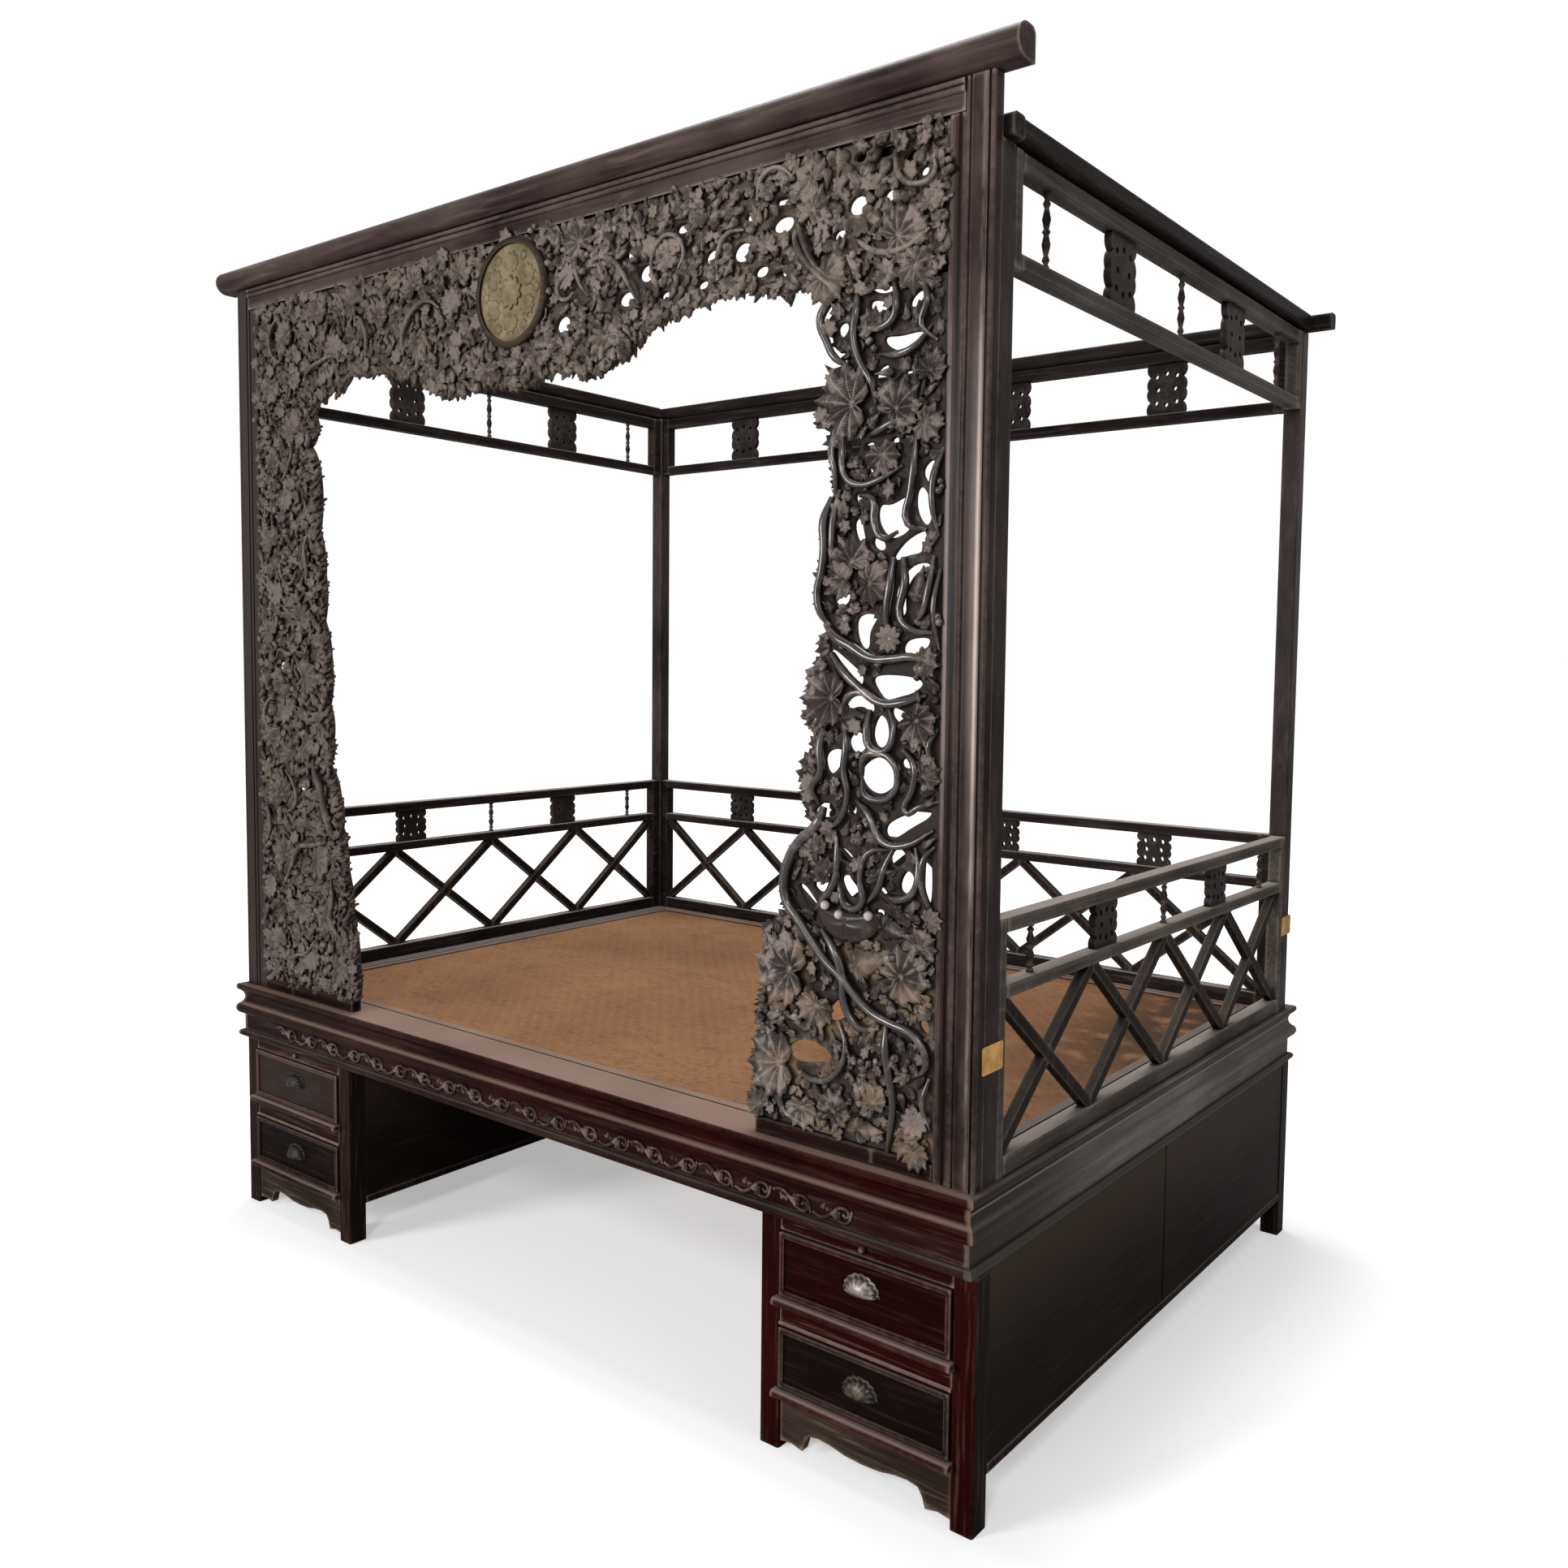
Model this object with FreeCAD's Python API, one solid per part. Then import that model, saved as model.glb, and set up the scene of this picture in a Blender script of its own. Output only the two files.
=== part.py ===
# Four-post canopy bed of dark lacquered wood: two drawer pedestals carry a mitred seat with a
# cane mat, low lattice railings, four corner posts, an open canopy and a carved front.
# Millimetres. X runs along the width, Y from front to back, Z up from the floor.
# The origin is on the floor under the middle of the bed.
import FreeCAD
import Part
import math
import os

# Seat: four mitred rails with a moulded edge
seat_width = 2100.0
seat_depth = 1460.0
seat_height = 540.0
seat_rail_width = 130.0
seat_rail_thickness = 72.0
top_bead_height = 14.0
top_bead_setback = 4.0
cove_depth = 15.0
torus_height = 26.0
seat_groove_setback = 88.0
seat_groove_width = 4.0
seat_groove_depth = 3.0
mat_rebate_width = 18.0
mat_rebate_depth = 9.0

# Waist boards and the bead moulding under the seat
waist_height = 40.0
waist_setback = 15.0
waist_thickness = 24.0
bead_height = 16.0
bead_setback = 4.0
bead_width = 68.0

# Cane mat and the battens under it
mat_thickness = 6.0
mat_side_gap = 1.0
batten_count = 3
batten_width = 45.0
batten_height = 40.0
batten_drop = 14.0

# Pedestals
pedestal_setback = 7.0
pedestal_front_setback = 25.0
pedestal_width = 429.0
leg_size = 42.0
leg_round = 4.0
rail_face_setback = 2.0
pedestal_rail_thickness = 24.0
top_rail_height = 28.0
middle_rail_height = 52.0
bottom_rail_height = 18.0
ledge_height = 14.0
ledge_overhang = 18.0
ledge_end_lap = 5.0
under_bead_height = 7.0
under_bead_overhang = 4.0
boss_radius = 8.0
boss_length = 9.0
side_rail_height = 16.0
side_rail_bottom = 84.0
board_thickness = 12.0
board_gap = 4.0
board_round = 2.0
inner_post_width = 50.0
inner_post_depth = 30.0
floor_board_thickness = 12.0
apron_thickness = 16.0
apron_setback = 5.0
apron_foot_clearance = 8.0

# Drawers
drawer_front_gap = 2.0
drawer_front_thickness = 20.0
drawer_front_overhang = 4.0
drawer_border_width = 9.0
drawer_border_height = 3.0
drawer_box_length = 540.0
drawer_box_side_gap = 6.0
drawer_box_top_gap = 16.0
drawer_wall = 10.0
drawer_bottom = 6.0
running_gap = 0.3
guide_gap = 1.5
runner_thickness = 12.0
runner_lap = 20.0
guide_height = 14.0

# Shell-shaped cup pulls
pull_width = 66.0
pull_height = 28.0
pull_depth = 18.0
pull_wall = 2.5
pull_plate_thickness = 1.5
pull_plate_rim = 4.0
upper_pull_rise = 13.0
lower_pull_rise = 5.0

# Corner posts and the facade frame, which stand on the seat
frame_side_setback = 15.0
facade_setback = 24.0
facade_thickness = 24.0
post_size = 40.0
post_round = 4.0
rear_post_setback = 40.0
facade_post_width = 50.0
facade_post_height = 1648.0
facade_bead_width = 8.0
facade_quirk_width = 3.0
facade_quirk_depth = 2.0
facade_stile_width = 28.0
facade_stile_setback = 3.0
facade_head_height = 48.0
reed_height = 11.0
reed_overhang = 5.0
beam_end_overhang = 50.0
beam_height = 50.0
beam_back_round = 12.0
sill_height = 26.0
sill_setback = 2.0
sill_joint_from_stile = 116.0

# Carved boards of the facade
carving_setback = 8.0
carving_thickness = 14.0
carving_corner_drop = 225.0
carving_lobe = 7.0
lobe_limit_share = 0.2

# Round medallion in the carved head
medallion_offset = -30.0
medallion_drop = 106.0
medallion_radius = 104.0
medallion_ring_width = 13.0
medallion_ring_depth = 28.0
medallion_proud = 10.0
medallion_disc_recess = 5.0
medallion_disc_thickness = 12.0
medallion_fit = 0.3

# Canopy: two cross beams with rounded ends and two side rails
canopy_rise = 1560.0
cross_beam_height = 34.0
cross_beam_depth = 32.0
cross_beam_round = 7.0
front_cross_end_overhang = 18.0
rear_cross_end_overhang = 60.0
canopy_rail_height = 34.0
canopy_rail_width = 48.0
canopy_rail_overhang = 15.0
canopy_rail_rise = 2.0

# Frieze frames under the canopy
frame_depth = 32.0
frame_round = 3.0
stile_width = 22.0
frieze_gap = 4.0
frieze_upper_rail = 28.0
frieze_opening = 120.0
frieze_lower_rail = 24.0

# Railings on the seat
railing_height = 410.0
railing_top_rail = 24.0
railing_band = 81.0
railing_middle_rail = 22.0
railing_bottom_rail = 32.0
lattice_bar_width = 20.0
lattice_bar_depth = 18.0
side_cells = 4
back_cells = 6

# Turned spindles and pierced plaques
spindle_radius = 7.5
plaque_thickness = 14.0
frieze_plaque_width = 104.0
railing_plaque_width = 92.0
plaque_hole_radius = 6.0
plaque_lobe_depth = 6.0
plaque_swell = 3.0

# Brass plates
plate_length = 62.0
plate_height = 44.0
plate_thickness = 1.5
plate_round = 5.0
plate_rise = 200.0
plate_lap_on_post = 50.0

# Overrun for cuts that pass right through a piece
overrun = 5.0

# Tops of the pedestals' middle and lower rails as shares of the legs' height
middle_rail_share = 0.656
bottom_rail_share = 0.267

# Places as shares: along a frame's clear length from its middle, -0.5 to 0.5
side_spindle_shares = (-0.42, 0.0, 0.42)
side_plaque_shares = (-0.21, 0.21)
back_plaque_shares = (-0.34, -0.14, 0.14, 0.36)

# A spindle's profile: share of its height, then share of its radius
spindle_shares = ((0.0, 0.80), (0.05, 0.80), (0.09, 0.45), (0.14, 0.85), (0.20, 0.50),
                  (0.34, 0.95), (0.46, 0.55), (0.50, 0.90), (0.54, 0.55), (0.66, 0.95),
                  (0.80, 0.50), (0.86, 0.85), (0.91, 0.45), (0.95, 0.80), (1.0, 0.80))

# A plaque's piercings: shares of its half width and half height
plaque_hole_shares = ((-0.5, -0.52), (0.5, -0.52), (-0.5, 0.52), (0.5, 0.52),
                      (-0.42, 0.0), (0.42, 0.0), (0.0, 0.62), (0.0, -0.62))

# Lower edge of the carved head, left to right: share of the half width between the stiles,
# then share of the corner drop
head_edge_shares = ((-0.815, 1.0), (-0.72, 1.05), (-0.62, 0.93), (-0.60, 0.81), (-0.50, 0.88),
                    (-0.39, 0.98), (-0.31, 1.10), (-0.25, 1.21), (-0.16, 1.17), (-0.07, 1.21),
                    (0.02, 1.24), (0.09, 1.16), (0.17, 1.24), (0.245, 1.22), (0.30, 1.09),
                    (0.355, 0.92), (0.42, 0.89), (0.49, 0.84), (0.59, 0.82), (0.66, 0.93),
                    (0.72, 0.88), (0.775, 1.0))

# Inner edges of the side carvings, top to bottom: share of the half width between the stiles,
# then share of the panel's height
right_edge_shares = ((0.775, 1.0), (0.757, 0.975), (0.768, 0.95), (0.80, 0.915),
                     (0.765, 0.88), (0.79, 0.83),
                     (0.775, 0.78), (0.768, 0.71), (0.76, 0.65), (0.775, 0.60), (0.732, 0.54),
                     (0.755, 0.495), (0.73, 0.44), (0.75, 0.385), (0.705, 0.34), (0.69, 0.30),
                     (0.698, 0.28), (0.65, 0.25), (0.64, 0.19), (0.63, 0.13), (0.62, 0.06),
                     (0.625, 0.0))
left_edge_shares = ((-0.815, 1.0), (-0.76, 0.955), (-0.79, 0.92), (-0.755, 0.87), (-0.76, 0.78),
                    (-0.74, 0.705), (-0.745, 0.63), (-0.72, 0.56), (-0.727, 0.49), (-0.715, 0.433),
                    (-0.728, 0.388), (-0.69, 0.34), (-0.68, 0.285), (-0.66, 0.217), (-0.64, 0.13),
                    (-0.62, 0.065), (-0.62, 0.0))

# Main piercings: share across the board from the stile to the opening, share of its height,
# then the half width and half height as shares of the board's half width
right_hole_shares = ((0.523, 0.979, 0.074, 0.061), (0.250, 0.982, 0.053, 0.053),
                     (0.848, 0.961, 0.044, 0.062), (0.403, 0.937, 0.156, 0.052),
                     (0.540, 0.902, 0.055, 0.078), (0.335, 0.896, 0.063, 0.045),
                     (0.812, 0.822, 0.049, 0.084), (0.439, 0.824, 0.039, 0.039),
                     (0.126, 0.785, 0.056, 0.079), (0.672, 0.712, 0.032, 0.086),
                     (0.434, 0.744, 0.105, 0.119), (0.183, 0.749, 0.055, 0.119),
                     (0.274, 0.705, 0.099, 0.081), (0.222, 0.652, 0.065, 0.144),
                     (0.816, 0.648, 0.061, 0.061), (0.593, 0.607, 0.074, 0.101),
                     (0.236, 0.592, 0.100, 0.054), (0.722, 0.563, 0.062, 0.087),
                     (0.354, 0.548, 0.151, 0.056), (0.612, 0.523, 0.068, 0.036),
                     (0.456, 0.494, 0.060, 0.107), (0.620, 0.481, 0.054, 0.054),
                     (0.797, 0.451, 0.063, 0.067), (0.414, 0.440, 0.108, 0.101),
                     (0.273, 0.412, 0.064, 0.032), (0.898, 0.398, 0.074, 0.057),
                     (0.229, 0.387, 0.133, 0.038), (0.849, 0.288, 0.044, 0.072),
                     (0.736, 0.308, 0.041, 0.041), (0.580, 0.311, 0.041, 0.089),
                     (0.644, 0.345, 0.061, 0.036), (0.225, 0.334, 0.053, 0.109),
                     (0.661, 0.097, 0.078, 0.045), (0.492, 0.159, 0.029, 0.029),
                     (0.077, 0.162, 0.026, 0.026))
left_hole_shares = ((0.62, 0.93, 0.05, 0.05), (0.35, 0.86, 0.04, 0.05), (0.65, 0.77, 0.04, 0.05),
                    (0.30, 0.68, 0.04, 0.05), (0.60, 0.61, 0.04, 0.05), (0.307, 0.55, 0.105, 0.049),
                    (0.70, 0.45, 0.04, 0.05), (0.536, 0.348, 0.087, 0.038),
                    (0.30, 0.27, 0.03, 0.04), (0.65, 0.20, 0.04, 0.05), (0.35, 0.11, 0.04, 0.04))

# The head's piercings: share of the half width, share of the corner drop, and the half width and
# half height as shares of the corner drop
head_hole_shares = ((0.107, 0.813, 0.058, 0.071), (0.282, 0.724, 0.058, 0.062),
                    (0.303, 0.369, 0.067, 0.053), (0.336, 0.556, 0.053, 0.076),
                    (0.426, 0.258, 0.040, 0.031), (0.475, 0.764, 0.040, 0.031),
                    (0.504, 0.556, 0.044, 0.053), (0.573, 0.569, 0.062, 0.071),
                    (0.619, 0.791, 0.049, 0.062), (0.670, 0.427, 0.080, 0.062),
                    (0.789, 0.551, 0.049, 0.044), (0.818, 0.449, 0.067, 0.076),
                    (0.883, 0.409, 0.031, 0.031), (0.836, 0.071, 0.040, 0.031),
                    (0.878, 0.076, 0.076, 0.040), (0.930, 0.164, 0.031, 0.031),
                    (0.949, 0.284, 0.031, 0.031), (0.863, 0.249, 0.031, 0.031),
                    (-0.402, 0.075, 0.062, 0.031), (-0.669, 0.356, 0.036, 0.031),
                    (-0.543, 0.578, 0.036, 0.031), (-0.825, 0.622, 0.036, 0.031))

# Scalloped apron, left half: share of its half length from the leg, share of its height
apron_shares = ((0.0, 0.06), (0.14, 0.10), (0.28, 0.04), (0.31, 0.24), (0.36, 0.40),
                (0.48, 0.44), (0.62, 0.42), (0.80, 0.35), (1.0, 0.33))

# Worked-out places
half_width = seat_width / 2
half_depth = seat_depth / 2
seat_underside = seat_height - seat_rail_thickness
waist_underside = seat_underside - waist_height
leg_height = waist_underside - bead_height
middle_rail_top = leg_height * middle_rail_share
bottom_rail_top = leg_height * bottom_rail_share
pedestal_outer = half_width - pedestal_setback
pedestal_inner = pedestal_outer - pedestal_width
pedestal_middle = (pedestal_outer + pedestal_inner) / 2
pedestal_front = half_depth - pedestal_front_setback
frame_half = half_width - frame_side_setback
facade_front = -(half_depth - facade_setback)
facade_back = facade_front + facade_thickness
front_post_back = facade_back + post_size
rear_post_back = half_depth - rear_post_setback
rear_post_front = rear_post_back - post_size
facade_top = seat_height + facade_post_height
facade_post_inner = frame_half - facade_post_width
stile_inner = facade_post_inner - facade_stile_width
head_underside = facade_top - facade_head_height
carving_joint = head_underside - carving_corner_drop
sill_top = seat_height + sill_height
canopy_underside = seat_height + canopy_rise
frieze_top = canopy_underside + canopy_rail_rise - frieze_gap
frieze_opening_top = frieze_top - frieze_upper_rail
frieze_opening_bottom = frieze_opening_top - frieze_opening
railing_top = seat_height + railing_height
band_top = railing_top - railing_top_rail
band_bottom = band_top - railing_band
lattice_top = band_bottom - railing_middle_rail
lattice_bottom = seat_height + railing_bottom_rail

os.makedirs("parts", exist_ok=True)


def vec(x, y, z):
    return FreeCAD.Vector(x, y, z)


def save(name, solids):
    shape = solids[0] if len(solids) == 1 else Part.makeCompound(solids)
    shape.exportStep("parts/" + name + ".step")


def place(u, v, axis, along):
    """A point of a section drawn in u and v, set at a distance along the axis."""
    if axis == "x":
        return vec(along, u, v)
    if axis == "y":
        return vec(u, along, v)
    return vec(u, v, along)


def section_wire(start, steps, axis, along):
    """A closed outline: each step is an end point, or an arc's middle and end points."""
    edges = []
    here = start
    for step in list(steps) + [start]:
        if isinstance(step[0], tuple):
            middle, end = step
            arc = Part.Arc(place(*here, axis, along), place(*middle, axis, along),
                           place(*end, axis, along))
            edges.append(arc.toShape())
        else:
            end = step
            if end != here:
                edges.append(Part.makeLine(place(*here, axis, along), place(*end, axis, along)))
        here = end
    return Part.Wire(edges)


def prism(start, steps, axis, low, high):
    """A bar with the given section between two places along the axis."""
    face = Part.Face(section_wire(start, steps, axis, low))
    direction = {"x": vec(high - low, 0, 0), "y": vec(0, high - low, 0), "z": vec(0, 0, high - low)}
    solid = face.extrude(direction[axis])
    return solid


def block(x0, x1, y0, y1, z0, z1):
    return Part.makeBox(x1 - x0, y1 - y0, z1 - z0, vec(x0, y0, z0))


def rounded_bar(u0, u1, v0, v1, radius, axis, low, high):
    """A bar whose section is a rectangle with rounded corners."""
    near = radius * (1 - math.sqrt(0.5))
    start = (u0 + radius, v0)
    steps = [(u1 - radius, v0),
             ((u1 - near, v0 + near), (u1, v0 + radius)),
             (u1, v1 - radius),
             ((u1 - near, v1 - near), (u1 - radius, v1)),
             (u0 + radius, v1),
             ((u0 + near, v1 - near), (u0, v1 - radius)),
             (u0, v0 + radius),
             ((u0 + near, v0 + near), start)]
    return prism(start, steps, axis, low, high)


def mirrored(solids):
    return [s.mirror(vec(0, 0, 0), vec(1, 0, 0)) for s in solids]


def turned_about_z(solid, degrees):
    copy = solid.copy()
    copy.rotate(vec(0, 0, 0), vec(0, 0, 1), degrees)
    return copy


def mitred_ring(profile, setback, width):
    """Four mitred members round the seat, as front, right, back, left. The profile is drawn
    from the outer face inward, at the given setback from the seat's edge."""
    members = []
    for index in range(4):
        along_x = index % 2 == 0
        half_length = (half_width if along_x else half_depth) - setback
        outer = (half_depth if along_x else half_width) - setback
        start, steps = profile
        outward = [start] + list(steps)
        shifted = []
        for step in outward:
            if isinstance(step[0], tuple):
                shifted.append(tuple((o - outer, z) for o, z in step))
            else:
                shifted.append((step[0] - outer, step[1]))
        bar = prism(shifted[0], shifted[1:], "x", -half_length, half_length)
        for side in (-1, 1):
            corner = (side * half_length, -outer)
            tip = (side * (half_length - width - overrun), -outer + width + overrun)
            wedge = Part.Wire([
                Part.makeLine(vec(*corner, 0), vec(*tip, 0)),
                Part.makeLine(vec(*tip, 0), vec(corner[0] + side * overrun, tip[1], 0)),
                Part.makeLine(vec(corner[0] + side * overrun, tip[1], 0),
                              vec(corner[0] + side * overrun, corner[1], 0)),
                Part.makeLine(vec(corner[0] + side * overrun, corner[1], 0), vec(*corner, 0))])
            bar = bar.cut(Part.Face(wedge).extrude(vec(0, 0, seat_height + overrun)))
        members.append(turned_about_z(bar, 90 * index))
    return members


def seat_rails():
    """Top bead, cove and torus on the edge, a groove on top and a rebate for the mat inside."""
    top = seat_height
    cove_top = top - top_bead_height
    torus_top = seat_underside + torus_height
    bead_mid = top_bead_setback * 0.25
    groove = seat_groove_setback
    rebate = seat_rail_width - mat_rebate_width
    start = (top_bead_setback, top)
    steps = [((bead_mid, top - top_bead_height / 2), (top_bead_setback, cove_top)),
             ((cove_depth, (cove_top + torus_top) / 2), (top_bead_setback * 2, torus_top)),
             ((0, (torus_top + seat_underside) / 2), (top_bead_setback * 2, seat_underside)),
             (seat_rail_width, seat_underside),
             (seat_rail_width, top - mat_rebate_depth),
             (rebate, top - mat_rebate_depth),
             (rebate, top),
             (groove + seat_groove_width, top),
             (groove + seat_groove_width, top - seat_groove_depth),
             (groove, top - seat_groove_depth),
             (groove, top)]
    front, right, back, left = mitred_ring((start, steps), 0, seat_rail_width)
    save("seat_rail_front", [front])
    save("seat_rail_right", [right])
    save("seat_rail_back", [back])
    save("seat_rail_left", [left])


def waist():
    """Plain boards set back under the seat, on a bead moulding with a round nose."""
    board = ((0, seat_underside), [(0, waist_underside), (waist_thickness, waist_underside),
                                   (waist_thickness, seat_underside)])
    boards = mitred_ring(board, waist_setback, waist_thickness)
    save("waist_front_board", [boards[0]])
    save("waist_boards", boards[1:])
    nose = bead_height / 2
    bead = ((nose, waist_underside),
            [((0, leg_height + nose), (nose, leg_height)),
             (bead_width, leg_height), (bead_width, waist_underside)])
    save("waist_bead", mitred_ring(bead, bead_setback, bead_width))


def mat_and_battens():
    half_x = half_width - seat_rail_width + mat_rebate_width - mat_side_gap
    half_y = half_depth - seat_rail_width + mat_rebate_width - mat_side_gap
    bottom = seat_height - mat_rebate_depth
    save("cane_mat", [block(-half_x, half_x, -half_y, half_y, bottom, bottom + mat_thickness)])
    clear_x = half_width - seat_rail_width
    clear_y = half_depth - seat_rail_width
    pitch = 2 * clear_x / (batten_count + 1)
    top = bottom - batten_drop
    battens = []
    for index in range(batten_count):
        x = -clear_x + pitch * (index + 1)
        battens.append(rounded_bar(x - batten_width / 2, x + batten_width / 2, top - batten_height,
                                   top, leg_round, "y", -clear_y, clear_y))
    save("mat_battens", battens)


def pedestal_legs():
    """Four square legs with softened edges at the corners of the right pedestal."""
    legs = []
    for x in (pedestal_inner, pedestal_outer - leg_size):
        for y in (-pedestal_front, pedestal_front - leg_size):
            legs.append(rounded_bar(x, x + leg_size, y, y + leg_size, leg_round, "z", 0, leg_height))
    return legs


def ledge_section(face, top, height, overhang, depth):
    """A projecting strip with a round nose, its back let into the rail behind it."""
    nose = height / 2
    start = (face + depth, top)
    steps = [(face - overhang + nose, top),
             ((face - overhang, top - nose), (face - overhang + nose, top - height)),
             (face + depth, top - height)]
    return start, steps


def pedestal_rails():
    """Front rails with their mouldings, lower side rails and inner posts."""
    left = pedestal_inner + leg_size
    right = pedestal_outer - leg_size
    face = -pedestal_front + rail_face_setback
    back = face + pedestal_rail_thickness
    rails = [block(left, right, face, back, leg_height - top_rail_height, leg_height)]
    middle = block(left, right, face, back, middle_rail_top - middle_rail_height, middle_rail_top)
    bottom = block(left, right, face, back, bottom_rail_top - bottom_rail_height, bottom_rail_top)
    for rail, top in ((middle, middle_rail_top), (bottom, bottom_rail_top)):
        ledge_face = -pedestal_front
        start, steps = ledge_section(ledge_face, top, ledge_height, ledge_overhang, 0)
        lap = prism(start, steps, "x", left - ledge_end_lap, right + ledge_end_lap)
        start, steps = ledge_section(ledge_face, top, ledge_height, ledge_overhang,
                                     rail_face_setback + overrun)
        inner = prism(start, steps, "x", left, right)
        rails.append(rail.fuse(inner).fuse(lap).removeSplitter())
    under_top = middle_rail_top - middle_rail_height + under_bead_height
    start, steps = ledge_section(face, under_top, under_bead_height, under_bead_overhang, overrun)
    rails[1] = rails[1].fuse(prism(start, steps, "x", left, right)).removeSplitter()
    boss = Part.makeCone(boss_radius, boss_radius / 2, boss_length,
                         vec(pedestal_middle, face, leg_height - top_rail_height / 2), vec(0, -1, 0))
    rails[0] = rails[0].fuse(boss)
    run = pedestal_front - leg_size
    side_top = side_rail_bottom + side_rail_height
    outer_face = pedestal_outer
    board_back = pedestal_outer - rail_face_setback - board_thickness
    inner_back = pedestal_inner + rail_face_setback + board_thickness
    rails.append(rounded_bar(board_back, outer_face, side_rail_bottom, side_top, board_round, "y",
                             -run, run))
    rails.append(rounded_bar(pedestal_inner, inner_back, side_rail_bottom, side_top, board_round,
                             "y", -run, run))
    rear = pedestal_front - rail_face_setback - board_thickness
    rails.append(rounded_bar(rear, pedestal_front, side_rail_bottom, side_top, board_round, "x",
                             left, right))
    for x0, x1 in ((board_back - inner_post_depth, board_back),
                   (inner_back, inner_back + inner_post_depth)):
        rails.append(block(x0, x1, -inner_post_width / 2, inner_post_width / 2, side_top, leg_height))
    return rails


def pedestal_panels():
    """Two outer boards with a gap between, one inner board, a back board and a floor board."""
    run = pedestal_front - leg_size
    low = side_rail_bottom + side_rail_height
    outer1 = pedestal_outer - rail_face_setback
    outer0 = outer1 - board_thickness
    inner0 = pedestal_inner + rail_face_setback
    inner1 = inner0 + board_thickness
    back1 = pedestal_front - rail_face_setback
    back0 = back1 - board_thickness
    left = pedestal_inner + leg_size
    right = pedestal_outer - leg_size
    half_gap = board_gap / 2
    floor_low = bottom_rail_top - runner_thickness - floor_board_thickness
    return [rounded_bar(outer0, outer1, -run, -half_gap, board_round, "z", low, leg_height),
            rounded_bar(outer0, outer1, half_gap, run, board_round, "z", low, leg_height),
            rounded_bar(inner0, inner1, -run, run, board_round, "z", low, leg_height),
            rounded_bar(left, right, back0, back1, board_round, "z", low, leg_height),
            block(inner1, outer0, -run, -inner_post_width / 2, floor_low,
                  floor_low + floor_board_thickness),
            block(inner1, outer0, inner_post_width / 2, run, floor_low,
                  floor_low + floor_board_thickness)]


def apron():
    """Scalloped board between the front legs, with a bracket beside each leg."""
    left = pedestal_inner + leg_size
    half = pedestal_middle - left
    top = bottom_rail_top - bottom_rail_height
    height = top - apron_foot_clearance
    points = [(left + half * s, apron_foot_clearance + height * h) for s, h in apron_shares]
    points += [(2 * pedestal_middle - x, z) for x, z in reversed(points[:-1])]
    y = -pedestal_front + apron_setback
    edges = []
    for here, there in zip(points, points[1:]):
        edges.append(Part.makeLine(vec(here[0], y, here[1]), vec(there[0], y, there[1])))
    edges.append(Part.makeLine(vec(points[-1][0], y, points[-1][1]), vec(points[-1][0], y, top)))
    edges.append(Part.makeLine(vec(points[-1][0], y, top), vec(left, y, top)))
    edges.append(Part.makeLine(vec(left, y, top), vec(left, y, points[0][1])))
    return Part.Face(Part.Wire(edges)).extrude(vec(0, apron_thickness, 0))


def runners():
    """L-shaped runners under both drawers of the right pedestal, from the legs to inner posts."""
    bars = []
    start = -pedestal_front + leg_size
    end = -inner_post_width / 2
    inner_face = pedestal_inner + rail_face_setback + board_thickness
    outer_face = pedestal_outer - rail_face_setback - board_thickness
    box_left = pedestal_inner + leg_size + drawer_box_side_gap
    box_right = pedestal_outer - leg_size - drawer_box_side_gap
    for top in (bottom_rail_top, middle_rail_top):
        low = top - runner_thickness
        seat = block(inner_face, box_left + runner_lap, start, end, low, top)
        guide = block(inner_face, box_left - guide_gap, start, end, top, top + guide_height)
        bars.append(seat.fuse(guide).removeSplitter())
        seat = block(box_right - runner_lap, outer_face, start, end, low, top)
        guide = block(box_right + guide_gap, outer_face, start, end, top, top + guide_height)
        bars.append(seat.fuse(guide).removeSplitter())
    return bars


def drawer_front(bottom, top):
    """A board with a raised border round its face."""
    left = pedestal_inner + leg_size + drawer_front_gap
    right = pedestal_outer - leg_size - drawer_front_gap
    low = bottom + drawer_front_gap
    high = top - drawer_front_gap
    face = -pedestal_front - drawer_front_overhang
    board = rounded_bar(left, right, low, high, drawer_border_height / 2, "y",
                        face, face + drawer_front_thickness)
    panel = block(left + drawer_border_width, right - drawer_border_width, face - overrun,
                  face + drawer_border_height, low + drawer_border_width, high - drawer_border_width)
    return board.cut(panel)


def drawer_box(bottom, top):
    """Four sides and a bottom board, open on top, behind the drawer front."""
    left = pedestal_inner + leg_size + drawer_box_side_gap
    right = pedestal_outer - leg_size - drawer_box_side_gap
    front = -pedestal_front - drawer_front_overhang + drawer_front_thickness
    low = bottom + running_gap
    high = top - drawer_box_top_gap
    outside = block(left, right, front, front + drawer_box_length, low, high)
    inside = block(left + drawer_wall, right - drawer_wall, front + drawer_wall,
                   front + drawer_box_length - drawer_wall, low + drawer_bottom, high + overrun)
    return outside.cut(inside)


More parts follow.
